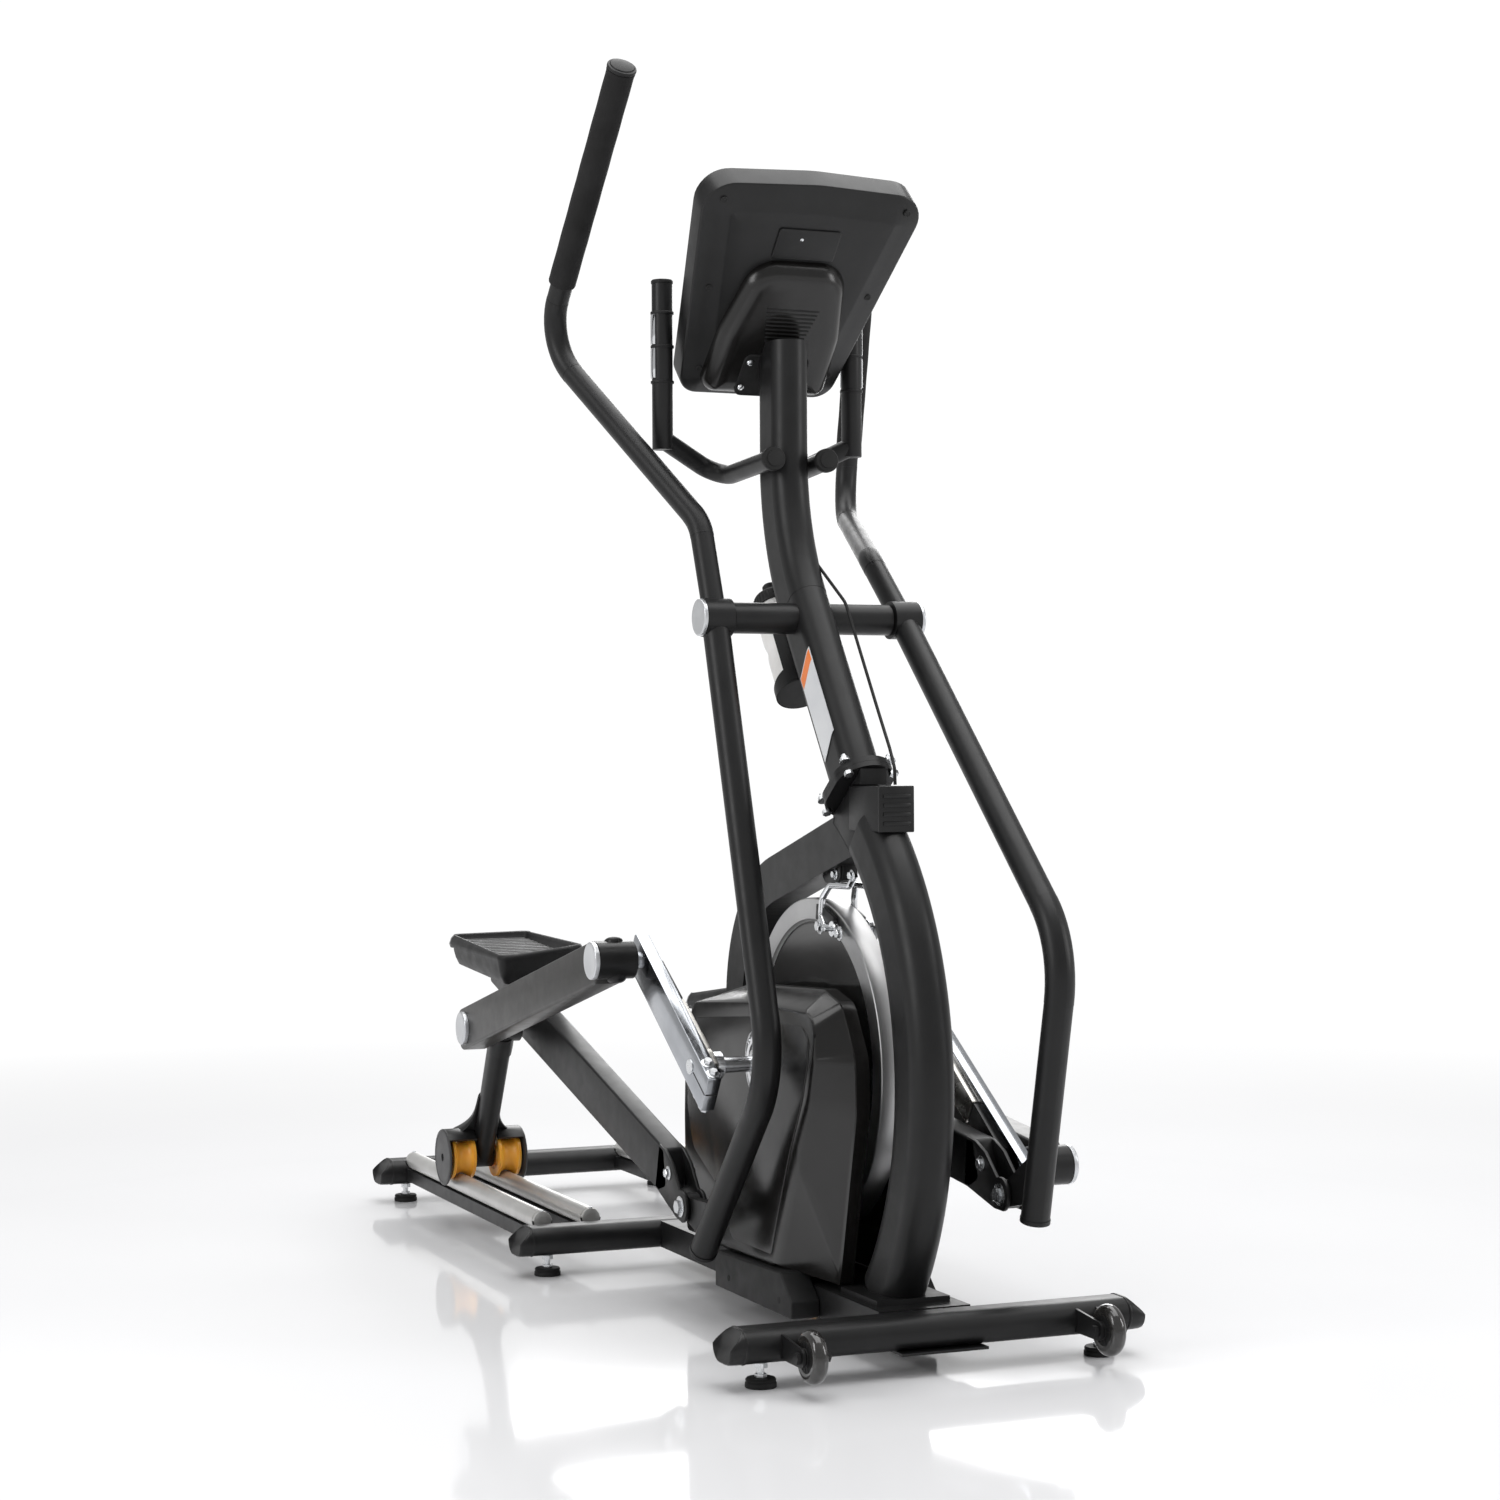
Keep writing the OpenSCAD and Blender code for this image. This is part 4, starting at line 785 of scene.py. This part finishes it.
# ---- flywheel
half = mm((208, -7), (223, -15), (226.2, -18.8), (227.5, -19), (258, -19), (259.7, -18), (260, -16.5))
hoop(half + [(r, -h) for r, h in reversed(half)], along_y(C, 0.0, 1), 160)
o = piece("flywheel_rim", "rim", "flywheel", 28)
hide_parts("flywheel")
for s in (-1, 1):
    prof = mm((13.5, 6), (13.5, 38.5), (19, 39), (20, 38), (20, 19), (60, 18.2), (63, 17), (66, 13), (120, 12.8),
        (132, 14), (140, 14.6), (217, 14.6), (220.5, 15.2), (222.2, 14.6), (222.6, 12.5), (222.6, 6))
    hoop(prof, along_y(C, 0.0, s), 128)
o = piece("flywheel_web", "disc", "flywheel", 28)
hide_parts("flywheel_disc")

# ---- brake
tab = round_outline(side_view((-363, 734), (-363, 712), (-352, 703), (-302, 705), (-295, 716), (-295, 744)), 0.005, 4)
for s in (-1, 1):
    prism(tab, s * 0.011, s * 0.015, WORLD, 0.0008, 2)
prism(tab, -0.0115, 0.0115, shift(0.004, 0, 0.003), 0.0008, 2)
o = piece("brake_tabs", "paint")
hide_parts("brake_mount")
for s in (-1, 1):
    pts = path_points([(mx(-246), s * 0.012, 0.7185), (mx(-262), s * 0.014, 0.701), (mx(-318), s * 0.022, 0.701),
        (mx(-336), s * 0.0275, 0.68), (mx(-339), s * 0.0285, 0.652), (mx(-322), s * 0.0295, 0.636),
        (mx(-296), s * 0.03, 0.634)], mm(0, 10, 16, 14, 14, 14, 0))
    sweep(pts, circle(0.0052, 20))
    lathe(mm((4.6, -4), (11.8, -4), (12.6, -3.2), (12.6, 3.2), (11.8, 4), (4.6, 4)),
        along_y((mx(-287), 0.634), s * 0.03, s), 32, False)
piece("brake_rods", "chrome")
for s in (-1, 1):
    hexbolt(along_y((mx(-338), 0.636), s * 0.03, s), 0.0085, 0.006)
    hexbolt(along_y((mx(-264), 0.628), s * 0.0295, s), 0.0075, 0.006)
    hexbolt(along_y((mx(-312), 0.718), s * 0.015, s), 0.006, 0.005)
    lathe(mm((3.5, 0), (3.5, 22), (3, 22.5)), along_y((mx(-287), 0.634), s * 0.024, s), 20)
    hexbolt(along_y((mx(-246), 0.7185), s * 0.0165, s), 0.0062, 0.0048)
piece("brake_nuts", "zinc")
for s in (-1, 1):
    arcp = [radians(66 + 16 * i / 12) for i in range(13)]
    pad = [(C.x + r * cos(w), C.z + r * sin(w)) for r, arc in ((0.2545, arcp), (0.23, arcp[::-1])) for w in arc]
    prism(pad, s * 0.0215, s * 0.028, WORLD, 0.001, 2)
o = piece("brake_pads", "satin", "brake")
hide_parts("brake_shoe")

# ---- end caps, feet, wheels
for x in CROSS_X:
    for s in (-1, 1):
        rings = []
        for y, w, h, cut in ((0.3085, 0.038, 0.026, 0), (0.3102, 0.0384, 0.0262, 0), (0.312, 0.038, 0.0258, 0),
                (0.3126, 0.0372, 0.025, 0.02), (0.318, 0.0372, 0.025, 0.22), (0.325, 0.037, 0.0248, 0.5),
                (0.3318, 0.0366, 0.0244, 0.8), (0.3352, 0.0356, 0.0234, 0.97), (0.336, 0.034, 0.0218, 1.0)):
            rings.append([Vector((mx(x) + a, s * (y - 0.0235 * cut * max(0.0, b / h) ** 1.15), CROSS_Z + b))
                for a, b in stadium(2 * w, 2 * h, 14)])
        skin(rings)
o = piece("end_caps", "satin", deg=35)
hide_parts("stabiliser_caps")

for x in CROSS_X:
    for s in (-1, 1):
        m4 = shift(mx(x), s * FOOT_Y, 0)
        prof = mm((19, 0), (22.2, 0), (23, 0.8), (23, 6.5), (22.2, 7.8), (21.4, 8.2), (21.4, 9.8), (22.2, 10.2),
            (22.2, 11.8), (20.8, 13.6), (12, 14), (5.5, 14))
        lathe(prof, m4, 48)
o = piece("foot_pads.fine", "rubber", deg=35)
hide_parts("foot_pads")

z0, z1 = (v.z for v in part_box("rail_tubes"))
rz, rr = (z0 + z1) / 2, (z1 - z0) / 2
RAIL_ENDS = [(xe, s * y, sg) for y in (0.18, 0.27) for s in (-1, 1) for xe, sg in ((mx(-1849), -1), (mx(-1025), 1))]
for xe, y, sg in RAIL_ENDS:
    m4 = towards((xe, y, rz), (sg, 0, 0))
    lathe([(0.006, 0.0), (rr - 0.0012, 0.0), (rr - 0.0004, 0.0008), (rr - 0.0006, 0.0085), (rr - 0.0018, 0.009),
        (0.006, 0.009)], m4, 48)
o = piece("rail_plugs", "alu")
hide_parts("rail_caps")
for xe, y, sg in RAIL_ENDS:
    rings = []
    for i in range(17):
        w = pi * i / 16
        rings.append([Vector((xe + sg * x, y + r * cos(w), rz - r * sin(w)))
            for x, r in ((0.0018, rr - 0.001), (0.0018, rr + 0.0012), (0.0078, rr + 0.0012), (0.0078, rr - 0.001))])
    skin(rings)
piece("rail_collars", "plastic")
for xe, y, sg in RAIL_ENDS:
    hexbolt(shift(xe + sg * 0.005, y, rz + rr - 0.0008), 0.0034, 0.0024, False)
piece("rail_screws", "zinc")

# square plug with a ribbed face in the end of the upper frame
PX = mx(-231)
block((0.0, -0.029, 0.788), (0.1085, 0.029, 0.8575), shift(PX, 0, 0), 0.003, 3)
o = piece("frame_head", "paint")
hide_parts("top_block")
block((0.108, -0.0296, 0.7875), (0.113, 0.0296, 0.858), shift(PX, 0, 0), 0.0018, 3)
for i in range(4):
    block((0.1126, -0.0225, 0.7975 + 0.014 * i), (0.1152, 0.0225, 0.804 + 0.014 * i), shift(PX, 0, 0), 0.001, 2)
piece("frame_plug", "satin")

for s, nm in SIDE.items():
    wc, wy = (mx(98), 0.058), s * 0.2375
    m4 = along_y(wc, wy, s)
    prof = mm((22.5, -10.8))
    for i in range(17):
        w = -pi / 2 + pi * i / 16
        prof.append((0.0285 + 0.01 * cos(w), 0.0118 * sin(w)))
    prof += mm((22.5, 10.8))
    lathe(prof, m4, 64, False)
    o = piece(f"wheel_tyre_{nm}", "smoked", f"wheel_{nm}")
    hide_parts(f"wheel_{nm}")
    lathe(mm((13.5, -10.5), (22.6, -10.6), (22.6, 10.6), (13.5, 10.5)), m4, 48, False)
    for i in range(12):
        w = 2 * pi * i / 12
        block((-0.0006, -0.0112, 0.013), (0.0006, 0.0112, 0.0224), shift(wc[0], wy, wc[1]) @ turn(w, "Y"))
    lathe(mm((5.6, -13), (12.8, -13), (13.6, -12.2), (13.6, 12.2), (12.8, 13), (5.6, 13)), m4, 40, False)
    piece(f"wheel_hub_{nm}", "plastic", f"wheel_{nm}")

# ---- fixed handlebars
for s, nm in SIDE.items():
    hx, hy = mx(-656), s * 0.172
    pts = path_points([(mx(-486), s * 0.047, 1.386), (mx(-694), s * 0.054, 1.374), (hx, hy, 1.432)], mm(0, 38, 0))
    sweep(pts, circle(0.016))
    lathe(mm((10, 1413.5), (16.6, 1414), (17.3, 1415), (17.3, 1689.5), (10, 1690)), shift(hx, hy, 0), 40)
    o = piece(f"pulse_bar_{nm}", "paint")
    if s < 0:
        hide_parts("handlebars")
    d = Vector((1, 0, 0.04))
    lathe(mm((10, -2), (19, 0), (19.5, 1), (19.5, 10.5), (18.5, 12), (13, 12.5), (12.6, 14), (5, 14.5)),
        towards((mx(-486), s * 0.047, 1.386), d), 40)
    lathe(mm((10, -2), (18, 0), (18.4, 1), (18.4, 4), (16.8, 6), (6, 6.6)), towards((hx, hy, 1.69), (0, 0, 1)), 40)
    piece(f"pulse_plugs_{nm}", "rubber")
    for z0 in (1.532, 1.588):
        rings = []
        for i in range(25):
            w = radians((100 if s < 0 else 58) + 202 * i / 24)
            rings.append([Vector((hx + r * cos(w), hy + r * sin(w), z0 + z))
                for r, z in mm((17.4, 1), (18.8, 0), (19.4, 1), (19.4, 49), (18.8, 50), (17.4, 49))])
        skin(rings)
    o = piece(f"pulse_plates_{nm}", "chrome")
    if s < 0:
        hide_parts("pulse_plates")
    for z in (1.526, 1.585, 1.641):
        lathe(mm((17.2, -2.2), (19, -2.2), (19.5, -1.6), (19.5, 1.6), (19, 2.2), (17.2, 2.2)), shift(hx, hy, z), 40,
            False)
    piece(f"pulse_rings_{nm}", "plastic")

# ---- console
CON = shift(mx(-525), 0, 1.655) @ turn(-radians(46.05), "Y")
h2, t2, b2 = 0.206, 0.198, 0.136
con_pts = [(-h2, -b2), (-h2, b2), (h2 - 0.005, t2), (h2 + 0.005, 0.0), (h2 - 0.005, -t2)]
con_r = mm(36, 36, 52, 300, 52)


def con_piece(name, mat, steps, pts=con_pts, radii=con_r, n=9, deg=40):
    """Piece skinned through rings (distance inside the outline, height) in the console's frame."""
    skin([[CON @ Vector((u, v, w)) for u, v in loop(pts, radii, d, n)] for d, w in steps])
    return piece(name, mat, deg=deg)


o = con_piece("console_shell", "satin", mm((6, 57.5), (1.8, 56.6), (0, 54.5), (0, 16.5), (0.4, 13),
    (1.6, 11.6), (4, 10.6), (24, 5.2), (43.5, -0.2), (46, -1.2), (49, -1.6), (70, -2)), deg=30)
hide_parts("console_body")
# raised hump with a polished shoulder
con_piece("console_hump", "gloss", mm((0, 12), (0, -6), (3, -14), (8.5, -22.5), (15, -28), (21, -30),
    (34, -31.2)), mm((-184, -112), (-184, 112), (-60, 108), (74, 80), (74, -80), (-60, -108)),
    mm(24, 24, 100, 54, 54, 100))
# recess for the mast head: a shallow dip coloured near-black as painted shade
con_piece("console_pocket", "shade_and_seam", mm((0, -31.2), (1.2, -32.4), (3, -32.2), (4, -31.3)),
    mm((-176, -60), (-176, 60), (-92, 58), (-92, -58)), mm(14) * 4, 5)
# vent slots drawn as thin near-black sheets of painted shade on the hump
for i in range(9):
    line = stadium(0.003, 0.068 + 0.0032 * i, 5)
    skin([[CON @ Vector((i * 0.0078 - 0.064 + a, b, w)) for a, b in line] for w in (-0.0313, -0.0318)])
piece("console_vents", "shade_and_seam")
con_piece("console_door", "satin", mm((0, -1), (0, -4.6), (0.8, -5.2), (2, -5.4)),
    mm((78, -54), (78, 54), (136, 54), (136, -54)), mm(5) * 4, 3)
for u, v in mm((-108, 47), (-108, -47), (-158, 50), (-158, -50)):
    lathe(mm((5.8, 0), (6, 0.4), (6, 1.2), (4.4, 3.4), (1.8, 4.2)), CON @ shift(u, v, -0.0322) @ FLIP, 24)
lathe(mm((3, 0), (3, 1), (1.6, 1.8), (0.4, 1.9)), CON @ shift(0.118, -0.012, -0.0054) @ FLIP, 20)
piece("console_screws", "zinc")
# screw wells: shallow dips coloured near-black as painted shade
for u, v in mm((-150, 116), (-150, -116), (10, 141), (10, -141), (176, 160), (176, -160)):
    lathe(mm((5.6, 0), (5.8, 1.4), (4.8, 2.6), (3.6, 2), (0.8, 1.9)), CON @ shift(u, v, 0.0044) @ FLIP, 24)
piece("console_screw_wells", "shade_and_seam")
# face
o = con_piece("console_front", "satin", mm((4, 55), (3, 59), (4.5, 61.2), (9, 62.2), (16, 61.8),
    (30, 61.4)))
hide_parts("console_face")
con_piece("console_screen", "glass", mm((0, 60.8), (0, 62.6), (1.5, 63.4), (4, 63.6)),
    mm((-20, -128), (-20, 128), (140, 128), (140, -128)), mm(8) * 4, 4)
for i in range(-3, 4):
    lathe(mm((10.8, 0), (10.8, 2.2), (10, 3.4), (8, 3.8), (4, 3.5), (0.6, 3.4)),
        CON @ shift(-0.062, i * 0.031, 0.0612), 32)
piece("console_keys", "key")
for s in (-1, 1):
    lathe(mm((15, 0), (15, 2.8), (13.8, 4), (9, 4.3), (0.6, 4)), CON @ shift(-0.11, s * 0.066, 0.0612), 36)
piece("console_start_keys", "green")
lathe(mm((12, -1), (15.4, 0), (15.4, 3.6), (14, 4.8), (9, 5.2), (0.6, 5)), CON @ shift(-0.118, 0, 0.0638), 40)
o = piece("stop_key.fine", "red", "stop_key")
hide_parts("stop_key")
block((-0.186, -0.104, 0.0605), (-0.152, 0.104, 0.07), CON, 0.003, 3)
block((-0.156, -0.104, 0.064), (-0.15, 0.104, 0.0745), CON, 0.002, 2)
piece("console_tray", "satin")

# ---- bottle and cage
lean = radians(35.6)
BT = shift(mx(-542), 0, 1.09) @ turn(-lean, "Y")
prof = mm((20, -99), (33.5, -99), (35.6, -97), (36, -94), (36, -30), (35.2, -24), (33.8, -18), (33.5, -12), (34, -6),
    (35.4, 0), (36, 6), (36, 38), (35.2, 48), (33, 56), (30.5, 62), (29.5, 66), (29.3, 74.8), (27, 74.8))
lathe(prof, BT, 64)
o = piece("bottle_body", "milky", "bottle")
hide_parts("bottle")
cap = mm((30, 75.2), (32.8, 75.2), (33, 76.4), (33, 93), (31.6, 95.2), (26, 97), (18, 101), (13, 103), (12.2, 104.5),
    (11.8, 114), (12.4, 115), (12.4, 119), (11, 120.6), (4, 121))
lathe(cap, BT, 64)
for i in range(32):
    w = 2 * pi * i / 32
    block((0.0326, -0.0008, 0.077), (0.0336, 0.0008, 0.0925), BT @ turn(w, "Z"))
piece("bottle_cap", "plastic", "bottle")
# cage: back plate, floor cup, two side wings and a front lip


def wall(a0, a1, z0, top):
    """Part of the round wall between two angles in degrees, from z0 up to top(0 to 1 along it)."""
    rings = []
    for i in range(25):
        w, z1 = radians(a0 + (a1 - a0) * i / 24), top(i / 24)
        sec = ((0.0384, z0), (0.0408, z0), (0.0408, z1), (0.0384, z1))
        rings.append([BT @ Vector((r * cos(w), r * sin(w), z)) for r, z in sec])
    skin(rings)


wall(-52, 52, -0.1, lambda q: 0.04 - 0.03 * abs(2 * q - 1) ** 2)
wall(52, 120, -0.104, lambda q: -0.074 - 0.016 * q)
wall(-120, -52, -0.104, lambda q: -0.09 + 0.016 * q)
wall(120, 240, -0.104, lambda q: -0.09)
wall(163, 197, -0.092, lambda q: -0.004 - 0.006 * abs(2 * q - 1) ** 2)
lathe(mm((2, -104), (40, -104), (40.8, -103.2), (40.8, -100.8), (2, -100.6)), BT, 56)
block((0.04, -0.013, -0.088), (0.0545, 0.013, 0.058), BT, 0.002, 2)
o = piece("bottle_holder", "plastic")
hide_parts("bottle_cage")

# ---- plain label, frame web, cable
FL = shift(mx(-258), 0, 0.856) @ turn(-lean, "Y")


def wrap(u, lift):
    """Point on the near side of the mast section; u runs forward along the surface."""
    half, r = 0.021, 0.0317  # half length of the flat side, radius of the round ends
    w = max(0.0, abs(u) - half) / r
    x = min(abs(u), half) + (r + lift) * sin(w)
    return (copysign(x, u), -(r + lift) * cos(w))


def decal(name, mat, u0, u1, z0, z1, lift):
    """Slanted strip on the mast between u0 and u1, from z0 to z1 at its rear corner."""
    rings = []
    for i in range(27):
        u = u0 + (u1 - u0) * i / 26
        o, q, up = wrap(u, lift), wrap(u, 0.0002), 0.45 * (u + 0.022)
        rings.append([FL @ Vector((*p, z + up)) for p, z in ((q, z0), (o, z0), (o, z1), (q, z1))])
    skin(rings)
    piece(name, mat)


decal("mast_label", "label", -0.022, 0.032, 0.062, 0.226, 0.0007)
decal("mast_label_band", "orange", -0.02, 0.03, 0.203, 0.223, 0.0011)

# web that closes the corner between the upper frame and the flange
prism(side_view((-300, 738), (-200, 764), (-200, 857), (-228, 857), (-300, 811.5)), -0.0247, 0.0247, WORLD, 0.0012, 2)
piece("frame_web", "paint")

cable_pts = path_points([(mx(-490), 0.016, 1.24), (mx(-400), 0.044, 1.15), (mx(-290), 0.046, 0.985),
    (mx(-206), 0.03, 0.915), (mx(-172), 0.022, 0.885), (mx(-170), 0.022, 0.859)], mm(0, 60, 200, 40, 10, 0))
cu = bpy.data.curves.new("brake_cable.fine", "CURVE")
cu.dimensions = "3D"
cu.bevel_depth = 0.0026
cu.bevel_resolution = 5
cu.use_fill_caps = True
fine = []
for a, b in zip(cable_pts, cable_pts[1:]):
    k = max(1, int((b - a).length / 0.012))
    fine += [a.lerp(b, i / k) for i in range(k)]
fine.append(cable_pts[-1])
sp = cu.splines.new("POLY")
sp.points.add(len(fine) - 1)
for p, q in zip(sp.points, fine):
    p.co = (*q, 1)
co = add("brake_cable.fine", cu)
cu.materials.append(M["rubber"])
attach(co, "base")
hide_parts("brake_cable")
cable_len = sum((b - a).length for a, b in zip(fine, fine[1:]))
tuple(fine[0])

# ---- stage
FLOOR_R = 60
bm.faces.new([bm.verts.new((a, b, 0)) for a, b in circle(FLOOR_R, 48)])
me = bpy.data.meshes.new("studio_floor")
bm.to_mesh(me)
bm.free()
floor = add("studio_floor", me)
fm, nt, bs = principled("studio_floor")
n = noise(nt, coords(nt), 0.6, 2.0)
nt.links.new(ramp(nt, n, [(0.3, (0.8, 0.8, 0.815)), (0.7, (0.84, 0.84, 0.85))]), bs.inputs["Base Color"])
nt.links.new(rng(nt, noise(nt, coords(nt), 3.0), 0.05, 0.08), bs.inputs["Roughness"])
bs.inputs["IOR"].default_value = 1.7
# the floor fades into plain white away from the machine
tc = add_node(nt, "TexCoord")
ln = add_node(nt, "VectorMath")
ln.operation = "LENGTH"
nt.links.new(tc.outputs["Object"], ln.inputs[0])
far = rng(nt, ln.outputs["Value"], 0.0, 1.0, 1.7, 4.5)
em = add_node(nt, "Emission")
nt.links.new(ramp(nt, n, [(0.3, (1.0, 1.0, 1.0)), (0.7, (0.995, 0.995, 1.0))]), em.inputs["Color"])
em.inputs["Strength"].default_value = 1.02
mixs = add_node(nt, "MixShader")
nt.links.new(far, mixs.inputs[0])
nt.links.new(bs.outputs[0], mixs.inputs[1])
nt.links.new(em.outputs[0], mixs.inputs[2])
nt.links.new(mixs.outputs[0], nt.nodes["Material Output"].inputs["Surface"])
me.materials.append(fm)

world = bpy.data.worlds.new("studio")
bpy.context.scene.world = world
world.use_nodes = True
wn = world.node_tree
bg = wn.nodes["Background"]
lp = wn.nodes.new("ShaderNodeLightPath")
mix = wn.nodes.new("ShaderNodeMix")
mix.data_type = "FLOAT"
wn.links.new(lp.outputs["Is Camera Ray"], mix.inputs[0])
mix.inputs[2].default_value = 0.55
mix.inputs[3].default_value = 1.05
bg.inputs["Color"].default_value = (1, 1, 1, 1)
wn.links.new(mix.outputs[0], bg.inputs["Strength"])


def area(name, loc, target, size, power):
    """Rectangular light at loc that faces target."""
    li = bpy.data.lights.new(name, "AREA")
    li.energy = power
    li.shape = "RECTANGLE"
    li.size, li.size_y = size
    ob = add(name, li)
    ob.location = loc
    ob.rotation_mode = "QUATERNION"
    ob.rotation_quaternion = (Vector(target) - Vector(loc)).to_track_quat("-Z", "Y")


area("top", (0.0, 0.3, 4.2), (0, 0, 0.3), (5.0, 4.0), 190)
area("back", (-4.2, 2.4, 2.6), (0, 0, 0.7), (3.0, 2.6), 110)
area("key_left", (1.2, -4.4, 2.6), (0, 0, 0.8), (1.6, 2.6), 70)
area("rim_right", (3.2, 4.0, 2.4), (0.2, 0, 0.8), (1.2, 2.6), 60)

cam_data = bpy.data.cameras.new("camera")
cam_data.sensor_width, cam_data.lens = 36, 68.41668  # mm
cam_data.clip_end = FLOOR_R
cam = add("camera", cam_data)
yaw, pitch, roll = (radians(x) for x in (67.7077, 0.237508, -0.299219))
fwd = Vector((-sin(yaw) * cos(pitch), cos(yaw) * cos(pitch), sin(pitch)))
right = Vector((cos(yaw), sin(yaw), 0))
up = right.cross(fwd)
r2 = right * cos(roll) + up * sin(roll)
u2 = -right * sin(roll) + up * cos(roll)
rot = Matrix((r2, u2, -fwd)).transposed()
cam.matrix_world = shift(X0 + 3.776708, -1.835468, 0.895224) @ rot.to_4x4()
bpy.context.scene.camera = cam
bpy.context.scene.view_settings.view_transform = "Standard"
